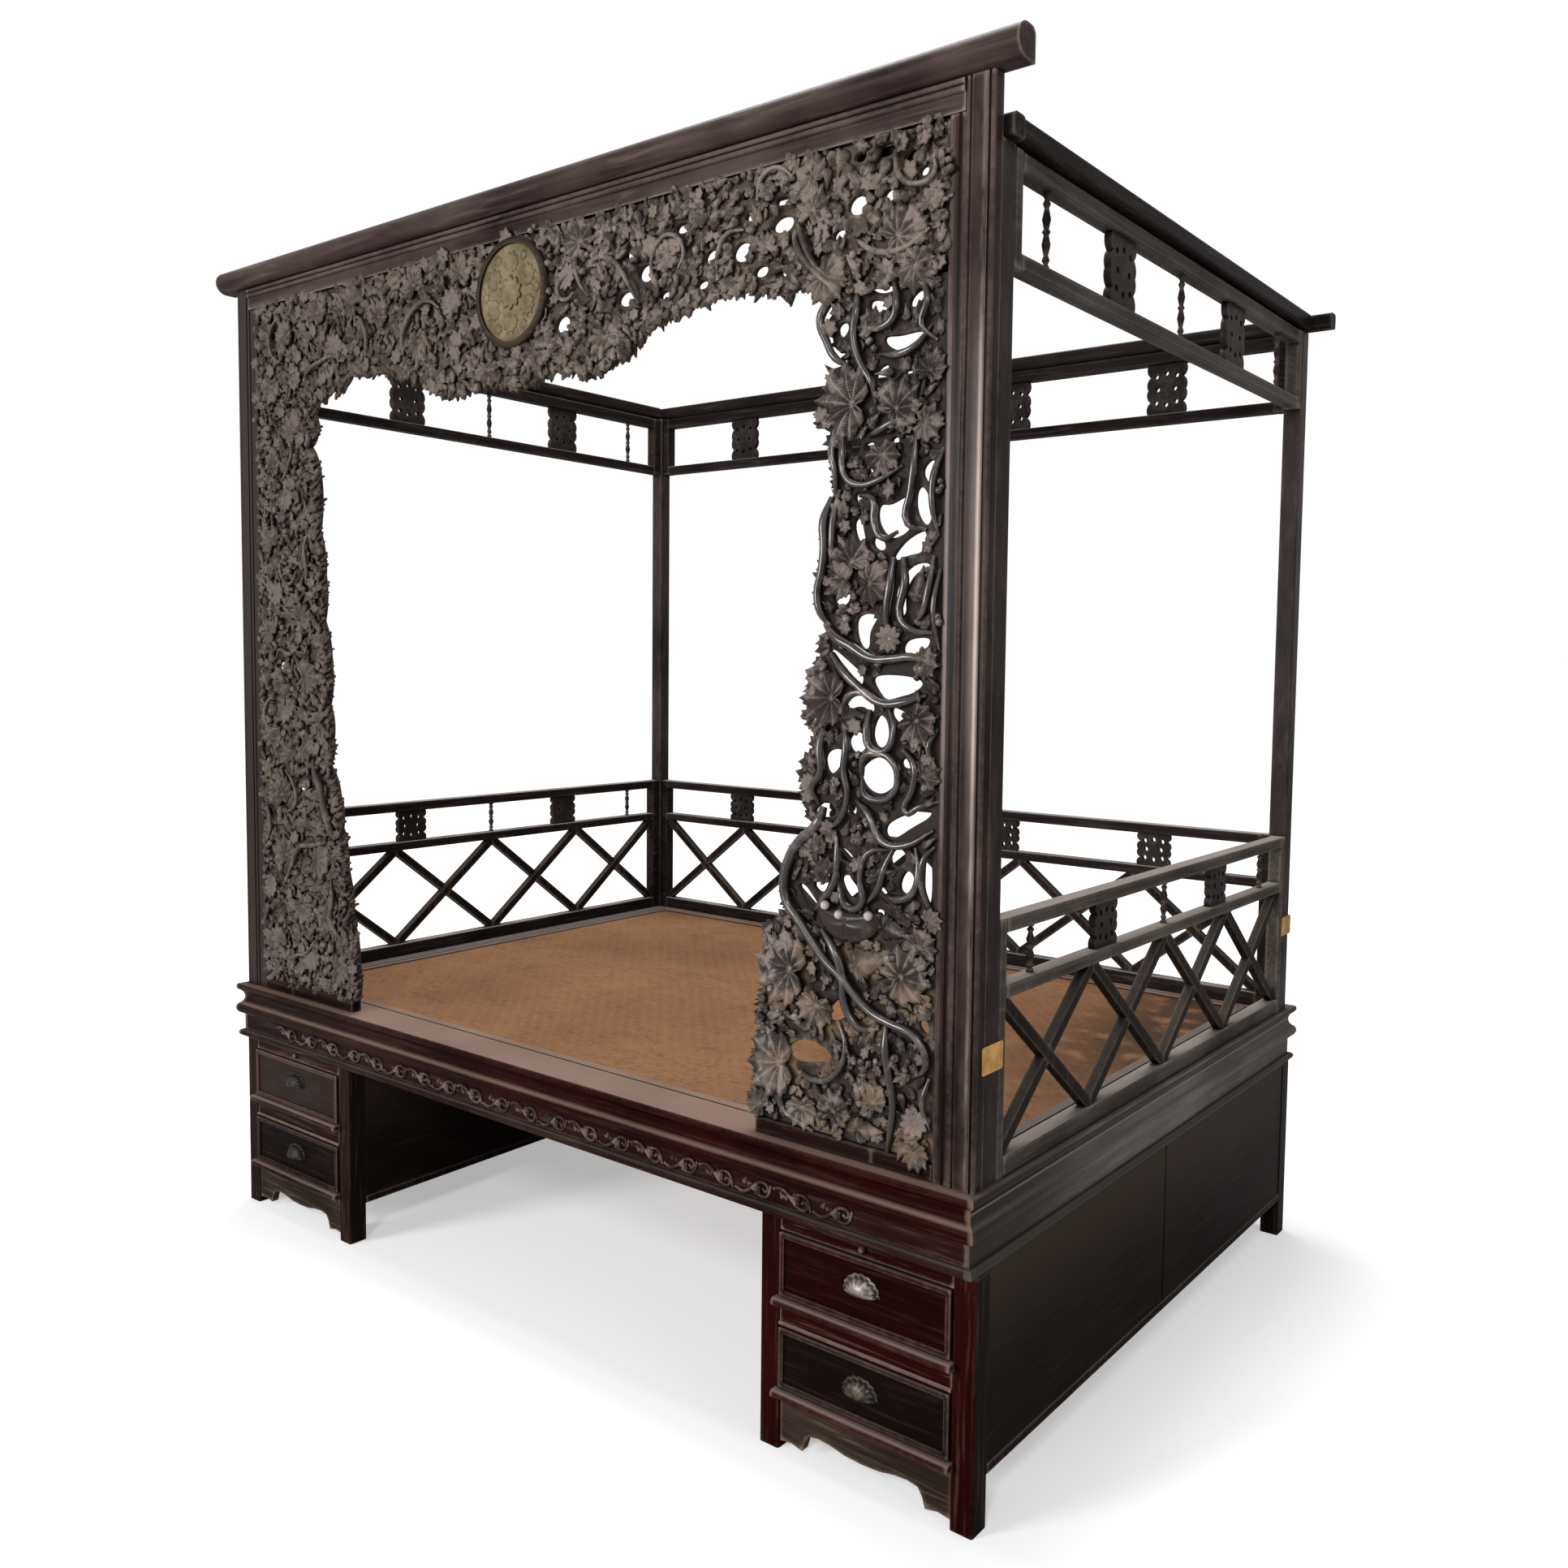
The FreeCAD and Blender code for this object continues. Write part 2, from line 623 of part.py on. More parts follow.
def cup_pull(bottom, top, rise):
    """Half-dome cup with a flat rim behind it, open at the bottom for the fingers."""
    sphere_radius = pull_width / 2
    face = -pedestal_front - drawer_front_overhang + drawer_border_height

    def dome(shrink):
        ball = Part.makeSphere(sphere_radius)
        matrix = FreeCAD.Matrix()
        matrix.scale(1 - shrink / sphere_radius, (pull_depth - shrink) / sphere_radius,
                     (pull_height - shrink) / sphere_radius)
        return ball.transformGeometry(matrix)

    keep = block(-pull_width, pull_width, -pull_width, -pull_plate_thickness, 0, pull_width)
    shell = dome(0).cut(dome(pull_wall)).common(keep)
    plate_wire = section_wire((-sphere_radius - pull_plate_rim, 0),
                              [((0, pull_height + pull_plate_rim),
                                (sphere_radius + pull_plate_rim, 0))], "y", -pull_plate_thickness)
    plate = Part.Face(plate_wire).extrude(vec(0, pull_plate_thickness, 0))
    pull = shell.fuse(plate).removeSplitter()
    pull.translate(vec(pedestal_middle, face, (bottom + top - pull_height) / 2 + rise))
    return pull


def pedestals_and_drawers():
    groups = {"legs": pedestal_legs(), "rails": pedestal_rails(), "panels": pedestal_panels()}
    for name, solids in groups.items():
        save("right_pedestal_" + name, solids)
        save("left_pedestal_" + name, mirrored(solids))
    save("pedestal_aprons", [apron()] + mirrored([apron()]))
    save("drawer_runners", runners() + mirrored(runners()))
    openings = {"upper": (middle_rail_top, leg_height - top_rail_height),
                "lower": (bottom_rail_top, middle_rail_top - middle_rail_height)}
    rises = {"upper": upper_pull_rise, "lower": lower_pull_rise}
    for level, (bottom, top) in openings.items():
        pieces = {"front": drawer_front(bottom, top), "box": drawer_box(bottom, top),
                  "pull": cup_pull(bottom, top, rises[level])}
        for name, solid in pieces.items():
            save("right_" + level + "_drawer_" + name, [solid])
            save("left_" + level + "_drawer_" + name, mirrored([solid]))


def corner_posts():
    inner = frame_half - post_size
    places = {"front": (facade_back, front_post_back), "rear": (rear_post_front, rear_post_back)}
    for name, (y0, y1) in places.items():
        post = rounded_bar(inner, frame_half, y0, y1, post_round, "z", seat_height, canopy_underside)
        save("corner_post_" + name + "_right", [post])
        save("corner_post_" + name + "_left", mirrored([post]))


def facade_frame():
    """Wide posts with a bead at each edge, inner stiles, head rail with two reeds, round-nosed
    beam and two-part sills."""
    bead = facade_bead_width
    quirk = facade_quirk_width
    deep = facade_front + facade_quirk_depth
    start = (facade_post_inner, facade_back)
    steps = [(facade_post_inner, facade_front + facade_quirk_depth),
             ((facade_post_inner + bead / 2, facade_front), (facade_post_inner + bead, deep)),
             (facade_post_inner + bead + quirk, deep),
             (facade_post_inner + bead + quirk, facade_front),
             (frame_half - bead - quirk, facade_front),
             (frame_half - bead - quirk, deep),
             (frame_half - bead, deep),
             ((frame_half - bead / 2, facade_front), (frame_half, deep)),
             (frame_half, facade_back)]
    post = prism(start, steps, "z", seat_height, facade_top)
    save("facade_posts", mirrored([post]) + [post])
    stile = rounded_bar(stile_inner, facade_post_inner, facade_front + facade_stile_setback,
                        facade_back, facade_quirk_depth, "z", seat_height, head_underside)
    save("facade_inner_stiles", mirrored([stile]) + [stile])
    reed_low = facade_top - 2 * reed_height
    middle = facade_top - reed_height
    start = (facade_back, facade_top)
    steps = [(facade_front, facade_top),
             ((facade_front - reed_overhang, facade_top - reed_height / 2), (facade_front, middle)),
             ((facade_front - reed_overhang, middle - reed_height / 2), (facade_front, reed_low)),
             (facade_front, head_underside), (facade_back, head_underside)]
    save("facade_head_rail", [prism(start, steps, "x", -facade_post_inner, facade_post_inner)])
    nose = beam_height / 2
    beam_top = facade_top + beam_height
    axis_y = -half_depth + nose
    near = beam_back_round * (1 - math.sqrt(0.5))
    start = (facade_back, facade_top)
    steps = [(axis_y, facade_top),
             ((axis_y - nose, facade_top + nose), (axis_y, beam_top)),
             (facade_back - beam_back_round, beam_top),
             ((facade_back - near, beam_top - near), (facade_back, beam_top - beam_back_round))]
    end = frame_half + beam_end_overhang
    save("facade_beam", [prism(start, steps, "x", -end, end)])
    sill_inner = stile_inner * right_edge_shares[-1][0]
    sill_joint = stile_inner - sill_joint_from_stile
    parts = [rounded_bar(facade_front + sill_setback, facade_back, seat_height, sill_top,
                         facade_quirk_depth, "x", x0, x1)
             for x0, x1 in ((sill_inner, sill_joint), (sill_joint, stile_inner))]
    save("facade_sills", mirrored(parts) + parts)


def lobed_edges(points, y, bulge, side):
    """Arcs from point to point, each bulging towards the opening."""
    edges = []
    for (x0, z0), (x1, z1) in zip(points, points[1:]):
        length = math.hypot(x1 - x0, z1 - z0)
        swell = min(bulge, length * lobe_limit_share) * side
        middle = ((x0 + x1) / 2 - (z1 - z0) / length * swell,
                  (z0 + z1) / 2 + (x1 - x0) / length * swell)
        edges.append(Part.Arc(vec(x0, y, z0), vec(middle[0], y, middle[1]),
                              vec(x1, y, z1)).toShape())
    return edges


def closed_board(lobed, corners, y, thickness):
    """A board with one lobed edge and straight edges through the given corners."""
    edges = list(lobed[0])
    here = lobed[1]
    for x, z in list(corners) + [lobed[2]]:
        edges.append(Part.makeLine(vec(here[0], y, here[1]), vec(x, y, z)))
        here = (x, z)
    return Part.Face(Part.Wire(edges)).extrude(vec(0, thickness, 0))


def oval_hole(x, z, half_w, half_h, y, thickness):
    """A straight-sided hole with round ends, along its longer direction."""
    radius = min(half_w, half_h)
    run = max(half_w, half_h) - radius
    tall = half_h > half_w
    hole = None
    for sign in (-1, 1):
        dx = 0 if tall else sign * run
        dz = sign * run if tall else 0
        end = Part.makeCylinder(radius, thickness + 2 * overrun,
                                vec(x + dx, y - overrun, z + dz), vec(0, 1, 0))
        hole = end if hole is None else hole.fuse(end)
    if run > 0:
        across = radius if tall else run
        up = run if tall else radius
        hole = hole.fuse(block(x - across, x + across, y - overrun, y + thickness + overrun,
                               z - up, z + up))
    return hole


def carved_boards():
    """The three pierced boards of the facade: head, left side and right side."""
    y = facade_front + carving_setback
    head_points = [(s * stile_inner, head_underside - h * carving_corner_drop)
                   for s, h in head_edge_shares]
    edges = lobed_edges(head_points, y, carving_lobe, -1)
    corners = [(stile_inner, carving_joint), (stile_inner, head_underside),
               (-stile_inner, head_underside), (-stile_inner, carving_joint)]
    head = closed_board((edges, head_points[-1], head_points[0]), corners, y, carving_thickness)
    for sx, sz, sw, sh in head_hole_shares:
        head = head.cut(oval_hole(sx * stile_inner, head_underside - sz * carving_corner_drop,
                                  sw * carving_corner_drop, sh * carving_corner_drop,
                                  y, carving_thickness))
    seat = Part.makeCylinder(medallion_radius + medallion_fit, carving_thickness + 2 * overrun,
                             vec(medallion_offset, y - overrun, head_underside - medallion_drop),
                             vec(0, 1, 0))
    save("facade_carving_head", [head.cut(seat)])
    height = carving_joint - sill_top
    boards = {"right": (1, right_edge_shares, right_hole_shares),
              "left": (-1, left_edge_shares, left_hole_shares)}
    for name, (side, edge_shares, hole_shares) in boards.items():
        points = [(s * stile_inner, sill_top + h * height) for s, h in edge_shares]
        edges = lobed_edges(points, y, carving_lobe, -side)
        corners = [(side * stile_inner, sill_top), (side * stile_inner, carving_joint)]
        board = closed_board((edges, points[-1], points[0]), corners, y, carving_thickness)
        for across, up, half_w, half_h in hole_shares:
            inner = edge_at(points, sill_top + up * height)
            width = abs(stile_inner - abs(inner))
            x = side * (stile_inner - across * width)
            board = board.cut(oval_hole(x, sill_top + up * height, half_w * width,
                                        half_h * width, y, carving_thickness))
        save("facade_carving_" + name, [board])


def edge_at(points, z):
    """Where a side carving's inner edge is at a height."""
    for (x0, z0), (x1, z1) in zip(points, points[1:]):
        if z1 <= z <= z0:
            return x0 + (x1 - x0) * (z0 - z) / (z0 - z1)
    return points[-1][0]


def medallion():
    """A turned ring with a flat disc inside it, let into the carved head."""
    centre_z = head_underside - medallion_drop
    front = facade_front - medallion_proud
    outer = Part.makeCylinder(medallion_radius, medallion_ring_depth,
                              vec(medallion_offset, front, centre_z), vec(0, 1, 0))
    hole_radius = medallion_radius - medallion_ring_width
    hole = Part.makeCylinder(hole_radius, medallion_ring_depth + 2 * overrun,
                             vec(medallion_offset, front - overrun, centre_z), vec(0, 1, 0))
    round_edges = [e for e in outer.Edges if abs(e.CenterOfMass.y - front) < medallion_fit]
    outer = outer.makeFillet(medallion_ring_width / 2, round_edges)
    save("medallion_ring", [outer.cut(hole)])
    disc = Part.makeCylinder(hole_radius - medallion_fit, medallion_disc_thickness,
                             vec(medallion_offset, front + medallion_disc_recess, centre_z),
                             vec(0, 1, 0))
    save("medallion_disc", [disc])


def canopy():
    """Cross beams with softened edges, and side rails between them."""
    low = canopy_underside
    high = low + cross_beam_height
    front_y = facade_back
    rear_y = rear_post_back - post_size / 2 - cross_beam_depth / 2
    front_end = frame_half + front_cross_end_overhang
    rear_end = frame_half + rear_cross_end_overhang
    front = rounded_bar(front_y, front_y + cross_beam_depth, low, high, cross_beam_round, "x",
                        -front_end, front_end)
    rear = rounded_bar(rear_y, rear_y + cross_beam_depth, low, high, cross_beam_round, "x",
                       -rear_end, rear_end)
    save("canopy_cross_beams", [front, rear])
    rail_outer = frame_half + canopy_rail_overhang
    rail_low = low + canopy_rail_rise
    rail = rounded_bar(rail_outer - canopy_rail_width, rail_outer, rail_low,
                       rail_low + canopy_rail_height, cross_beam_round, "y",
                       front_y + cross_beam_depth, rear_y)
    save("canopy_side_rails", mirrored([rail]) + [rail])


def frame_bars(levels, low, high):
    """Side frame on the right, between the corner posts: rails at the given levels and a stile
    at each end."""
    x1 = frame_half
    x0 = x1 - frame_depth
    bars = []
    for z0, z1 in levels:
        bars.append(rounded_bar(x0, x1, z0, z1, frame_round, "y",
                                front_post_back + stile_width, rear_post_front - stile_width))
    for y0 in (front_post_back, rear_post_front - stile_width):
        bars.append(rounded_bar(x0, x1, y0, y0 + stile_width, frame_round, "z", low, high))
    return bars


def back_frame_bars(levels, low, high):
    """The same frame across the back."""
    y1 = rear_post_back
    y0 = y1 - frame_depth
    clear = frame_half - post_size
    bars = []
    for z0, z1 in levels:
        bars.append(rounded_bar(y0, y1, z0, z1, frame_round, "x", -clear + stile_width,
                                clear - stile_width))
    for x0 in (-clear, clear - stile_width):
        bars.append(rounded_bar(x0, x0 + stile_width, y0, y1, frame_round, "z", low, high))
    return bars


def friezes():
    levels = ((frieze_opening_top, frieze_top),
              (frieze_opening_bottom - frieze_lower_rail, frieze_opening_bottom))
    low = levels[1][0]
    side = frame_bars(levels, low, frieze_top)
    save("frieze_frame_right", side)
    save("frieze_frame_left", mirrored(side))
    save("frieze_frame_back", back_frame_bars(levels, low, frieze_top))


def railings():
    levels = ((band_top, railing_top), (lattice_top, band_bottom), (seat_height, lattice_bottom))
    side = frame_bars(levels, seat_height, railing_top)
    save("railing_frame_right", side)
    save("railing_frame_left", mirrored(side))
    save("railing_frame_back", back_frame_bars(levels, seat_height, railing_top))


def lattice_cell(width):
    """Two crossed bars, halved into each other, clipped to a cell centred on the origin, in the
    X-Z plane."""
    height = lattice_top - lattice_bottom
    half_d = lattice_bar_depth / 2
    length = math.hypot(width, height)
    angle = math.degrees(math.atan2(height, width))
    cell = block(-width / 2, width / 2, -half_d, half_d, -height / 2, height / 2)
    bars = []
    for sign in (-1, 1):
        bar = block(-length / 2 - lattice_bar_width, length / 2 + lattice_bar_width, -half_d, half_d,
                    -lattice_bar_width / 2, lattice_bar_width / 2)
        bar.rotate(vec(0, 0, 0), vec(0, 1, 0), sign * angle)
        bars.append(bar.common(cell))
    front = block(-width / 2, width / 2, -half_d - overrun, 0, -height / 2, height / 2)
    rear = block(-width / 2, width / 2, 0, half_d + overrun, -height / 2, height / 2)
    first = bars[0].cut(bars[1].common(front))
    second = bars[1].cut(bars[0].common(rear))
    return [first, second]


def lattices():
    middle_z = (lattice_top + lattice_bottom) / 2
    side_low = front_post_back + stile_width
    side_high = rear_post_front - stile_width
    side_width = (side_high - side_low) / side_cells
    side_bars = []
    for index in range(side_cells):
        for bar in lattice_cell(side_width):
            bar.rotate(vec(0, 0, 0), vec(0, 0, 1), 90)
            bar.translate(vec(frame_half - frame_depth / 2, side_low + side_width * (index + 0.5),
                              middle_z))
            side_bars.append(bar)
    save("lattice_right", side_bars)
    save("lattice_left", mirrored(side_bars))
    clear = frame_half - post_size - stile_width
    back_width = 2 * clear / back_cells
    back_bars = []
    for index in range(back_cells):
        for bar in lattice_cell(back_width):
            bar.translate(vec(-clear + back_width * (index + 0.5), rear_post_back - frame_depth / 2,
                              middle_z))
            back_bars.append(bar)
    save("lattice_back", back_bars)


def spindle(height):
    """A turned spindle standing on the origin."""
    points = [vec(0, 0, 0)]
    points += [vec(r * spindle_radius, 0, h * height) for h, r in spindle_shares]
    points += [vec(0, 0, height), vec(0, 0, 0)]
    return Part.Face(Part.makePolygon(points)).revolve(vec(0, 0, 0), vec(0, 0, 1), 360)


def plaque(width, height):
    """A pierced plate with a lobed outline in the X-Z plane, standing on the origin. Its top and
    bottom edges stay flat where they meet the rails."""
    half = width / 2
    inset = plaque_lobe_depth
    y = -plaque_thickness / 2
    right_points = [(half - inset, 0), (half - inset * 2, height / 4), (half - inset, height / 2),
                    (half - inset * 2, height * 3 / 4), (half - inset, height)]
    edges = []
    for (x0, z0), (x1, z1) in zip(right_points, right_points[1:]):
        top_side = max(x0, x1) + plaque_swell
        edges.append(Part.Arc(vec(x0, y, z0), vec(top_side, y, (z0 + z1) / 2),
                              vec(x1, y, z1)).toShape())
    edges.append(Part.makeLine(vec(half - inset, y, height), vec(-half + inset, y, height)))
    left_points = [(-x, z) for x, z in reversed(right_points)]
    for (x0, z0), (x1, z1) in zip(left_points, left_points[1:]):
        top_side = min(x0, x1) - plaque_swell
        edges.append(Part.Arc(vec(x0, y, z0), vec(top_side, y, (z0 + z1) / 2),
                              vec(x1, y, z1)).toShape())
    edges.append(Part.makeLine(vec(-half + inset, y, 0), vec(half - inset, y, 0)))
    plate = Part.Face(Part.Wire(edges)).extrude(vec(0, plaque_thickness, 0))
    for sx, sz in plaque_hole_shares:
        hole = Part.makeCylinder(plaque_hole_radius, plaque_thickness + 2 * overrun,
                                 vec(sx * half, y - overrun, (1 + sz) * height / 2), vec(0, 1, 0))
        plate = plate.cut(hole)
    return plate


def fill_frames():
    """Spindles and plaques of the three friezes and the three railings."""
    side_clear = rear_post_front - front_post_back - 2 * stile_width
    side_middle = (rear_post_front + front_post_back) / 2
    back_clear = 2 * (frame_half - post_size - stile_width)
    side_x = frame_half - frame_depth / 2
    back_y = rear_post_back - frame_depth / 2
    bands = {"frieze": (frieze_opening_bottom, frieze_opening, frieze_plaque_width),
             "railing": (band_bottom, railing_band, railing_plaque_width)}
    for name, (low, height, width) in bands.items():
        spindles = []
        for share in side_spindle_shares:
            piece = spindle(height)
            piece.translate(vec(side_x, side_middle + share * side_clear, low))
            spindles += [piece] + mirrored([piece])
        save(name + "_spindles", spindles)
        plaques = []
        for share in side_plaque_shares:
            piece = turned_about_z(plaque(width, height), 90)
            piece.translate(vec(side_x, side_middle + share * side_clear, low))
            plaques += [piece] + mirrored([piece])
        for share in back_plaque_shares:
            piece = plaque(width, height)
            piece.translate(vec(share * back_clear, back_y, low))
            plaques.append(piece)
        save(name + "_plaques", plaques)


def brass_plates():
    """Square brass plates that tie the railings' end stiles to the corner posts."""
    plates = []
    low = seat_height + plate_rise - plate_height / 2
    front = front_post_back - plate_lap_on_post
    rear = rear_post_front + plate_lap_on_post - plate_length
    for y in (front, rear):
        plate = rounded_bar(y, y + plate_length, low, low + plate_height, plate_round, "x",
                            frame_half, frame_half + plate_thickness)
        plates += [plate] + mirrored([plate])
    save("brass_plates", plates)


seat_rails()
waist()
mat_and_battens()
pedestals_and_drawers()
corner_posts()
facade_frame()
carved_boards()
medallion()
canopy()
friezes()
railings()
lattices()
fill_frames()
brass_plates()
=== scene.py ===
import math
import random

import bmesh
import bpy
from mathutils import Matrix, Vector, noise
from mathutils.bvhtree import BVHTree


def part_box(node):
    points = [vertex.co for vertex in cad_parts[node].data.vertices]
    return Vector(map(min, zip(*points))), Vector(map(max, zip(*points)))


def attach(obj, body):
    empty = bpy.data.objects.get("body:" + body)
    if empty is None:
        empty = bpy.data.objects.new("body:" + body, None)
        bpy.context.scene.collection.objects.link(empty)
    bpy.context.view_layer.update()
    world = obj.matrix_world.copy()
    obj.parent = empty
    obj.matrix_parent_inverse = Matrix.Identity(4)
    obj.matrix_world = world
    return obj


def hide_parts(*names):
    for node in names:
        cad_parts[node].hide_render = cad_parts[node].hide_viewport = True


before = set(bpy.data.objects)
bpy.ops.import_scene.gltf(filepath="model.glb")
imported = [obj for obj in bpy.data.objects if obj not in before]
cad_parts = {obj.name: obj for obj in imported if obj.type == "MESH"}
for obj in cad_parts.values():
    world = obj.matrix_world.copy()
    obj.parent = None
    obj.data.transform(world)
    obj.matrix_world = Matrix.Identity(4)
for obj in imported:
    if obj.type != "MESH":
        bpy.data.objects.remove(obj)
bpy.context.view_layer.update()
scene = bpy.context.scene
scene.view_settings.view_transform = "Standard"

# The viewpoint: a person standing off the bed's front right corner, with the lens at chest height.
# The place, the angles and the lens come from the bed's own corners in the photograph.
eye = Vector((2.041, -2.368, 1.339))
eye_turn = math.radians(36.39)
eye_rise = math.radians(-3.74)
eye_roll = math.radians(0.8)
ahead = Vector(
    (-math.sin(eye_turn) * math.cos(eye_rise), math.cos(eye_turn) * math.cos(eye_rise), math.sin(eye_rise)))
level = ahead.cross(Vector((0, 0, 1))).normalized()
above = level.cross(ahead)
across = math.cos(eye_roll) * level + math.sin(eye_roll) * above
upward = math.cos(eye_roll) * above - math.sin(eye_roll) * level
lens = bpy.data.cameras.new("viewpoint")
lens.sensor_width = 36
lens.lens = 30.216
lens.shift_x = -0.0504
lens.shift_y = -0.0227
viewpoint = bpy.data.objects.new("viewpoint", lens)
scene.collection.objects.link(viewpoint)
viewpoint.matrix_world = Matrix((
    (across.x, upward.x, -ahead.x, eye.x),
    (across.y, upward.y, -ahead.y, eye.y),
    (across.z, upward.z, -ahead.z, eye.z),
    (0, 0, 0, 1)))
scene.camera = viewpoint


# The studio: a plain white floor that keeps the bed's shadow, a white surround and four large
# soft lamps. It stands round the bed and is no part of it.
class Strand:
    """A socket in a finish. Sums on it add Math nodes, and node() adds a node of any other kind."""

    def __init__(self, tree, socket=None):
        self.tree = tree
        self.socket = socket

    def node(self, kind, settings=None, values=None, output=0):
        made = self.tree.nodes.new("ShaderNode" + kind)
        for name, value in (settings or {}).items():
            setattr(made, name, value)
        for name, value in (values or {}).items():
            if isinstance(value, Strand):
                self.tree.links.new(value.socket, made.inputs[name])
            else:
                made.inputs[name].default_value = value
        return Strand(self.tree, made.outputs[output] if made.outputs else None)

    def sum(self, operation, *parts):
        return self.node("Math", {"operation": operation}, dict(enumerate(parts)))

    def __add__(self, other):
        return self.sum("ADD", self, other)

    def __radd__(self, other):
        return self.sum("ADD", other, self)

    def __sub__(self, other):
        return self.sum("SUBTRACT", self, other)

    def __rsub__(self, other):
        return self.sum("SUBTRACT", other, self)

    def __mul__(self, other):
        return self.sum("MULTIPLY", self, other)

    def __rmul__(self, other):
        return self.sum("MULTIPLY", other, self)

    def between(self, low, high):
        """0 below low, 1 above high, and a smooth rise between them."""
        return self.node("MapRange", {"interpolation_type": "SMOOTHSTEP"},
                         {"Value": self, "From Min": low, "From Max": high})

    def mixed(self, first, second):
        """A colour that goes from the first to the second as this number goes from 0 to 1."""
        first = first if isinstance(first, Strand) else (*first, 1)
        second = second if isinstance(second, Strand) else (*second, 1)
        return self.node("Mix", {"data_type": "RGBA"}, {0: self, 6: first, 7: second}, 2)

    def part(self, axis):
        """One axis of this place."""
        return self.node("SeparateXYZ", None, {0: self}, axis)

    def noise(self, scale, detail, **more):
        return self.node("TexNoise", None, {"Vector": self, "Scale": scale, "Detail": detail, **more})

    def corner(self, distance, samples=6):
        """Up to 1 in corners and hollows, and 0 in the open."""
        return 1 - self.node("AmbientOcclusion", {"samples": samples}, {"Distance": distance}, "AO")

    def edge(self, distance):
        """Up to 1 along the piece's own outer edges."""
        return 1 - self.node("AmbientOcclusion", {"inside": True, "samples": 6, "only_local": True},
                             {"Distance": distance}, "AO")

    def bump(self, strength, distance):
        """This height as a normal."""
        return self.node("Bump", None, {"Strength": strength, "Distance": distance, "Height": self})


def new_finish(name):
    """An empty finish, and the place on the piece to build it from."""
    made = bpy.data.materials.new(name)
    made.use_nodes = True
    made.node_tree.nodes.clear()
    return made, Strand(made.node_tree).node("TexCoord", output="Object")


def mesh_of(name, shape):
    mesh = bpy.data.meshes.new(name)
    shape.to_mesh(mesh)
    shape.free()
    return mesh


studio_white = 1.0
surround_light = 0.17
floor_size = 40
surround = bpy.data.worlds.new("surround")
surround.use_nodes = True
surround.node_tree.nodes.clear()
scene.world = surround
sky = Strand(surround.node_tree)
camera_ray, glossy_ray, through_ray = (
    sky.node("LightPath", output="Is " + kind + " Ray") for kind in ("Camera", "Glossy", "Transmission"))
white_part = sky.sum("MAXIMUM", sky.sum("MAXIMUM", camera_ray, glossy_ray), through_ray)
brightness = surround_light + (studio_white - surround_light) * white_part
sky.node("OutputWorld", None, {"Surface": sky.node("Background", None, {
    "Color": (1, 1, 1, 1), "Strength": brightness})})

floor_shape = bmesh.new()
bmesh.ops.create_grid(floor_shape, x_segments=1, y_segments=1, size=floor_size / 2)
floor_mesh = mesh_of("floor", floor_shape)
floor = bpy.data.objects.new("floor", floor_mesh)
scene.collection.objects.link(floor)
floor_finish, spot = new_finish("floor paper")
lit = spot.node("BsdfDiffuse", None, {"Color": (0.8, 0.8, 0.8, 1)})
away = spot.node("VectorMath", {"operation": "LENGTH"}, {0: spot}, "Value").between(1.9, 5.0)
lift = spot.node("Emission", None, {
    "Color": (1, 1, 1, 1),
    "Strength": (0.42 + 0.5 * away) * spot.node("LightPath", output="Is Camera Ray")})
spot.node("OutputMaterial", None, {"Surface": spot.node("AddShader", None, {0: lit, 1: lift})})
floor_mesh.materials.append(floor_finish)

for lamp_name, lamp_place, lamp_aim, lamp_size, lamp_power in (
        ("window lamp", (-3.8, -9.0, 2.6), (0.1, 0, 1.1), 3.2, 800),
        ("door lamp", (3.4, -6.4, 4.8), (0.7, -0.7, 1.2), 1.4, 190),
        ("side lamp", (5.4, -1.6, 3.0), (0.4, 0, 0.9), 2.4, 36),
        ("ceiling lamp", (-0.4, 0.4, 5.0), (0, 0, 0), 3.2, 240)):
    glowing = bpy.data.lights.new(lamp_name, "AREA")
    glowing.shape = "DISK"
    glowing.size = lamp_size
    glowing.energy = lamp_power
    lamp = bpy.data.objects.new(lamp_name, glowing)
    scene.collection.objects.link(lamp)
    lamp.location = lamp_place
    lamp.rotation_euler = (Vector(lamp_aim) - Vector(lamp_place)).to_track_quat("-Z", "Y").to_euler()


# The pedestals' legs, rails, boards and scalloped aprons: joined softwood under old lacquer, worn
# through to brown along the edges. The fronts were recoated in red, and the sides weren't.
def close_finish(colour, gloss, normal, shine=0.5, metal=0.0):
    """Joins a finish's strands into its surface."""
    surface = colour.node("BsdfPrincipled", None, {
        "Base Color": colour, "Roughness": gloss, "Metallic": metal, "Normal": normal,
        "Specular IOR Level": shine})
    surface.node("OutputMaterial", None, {"Surface": surface})
    return surface


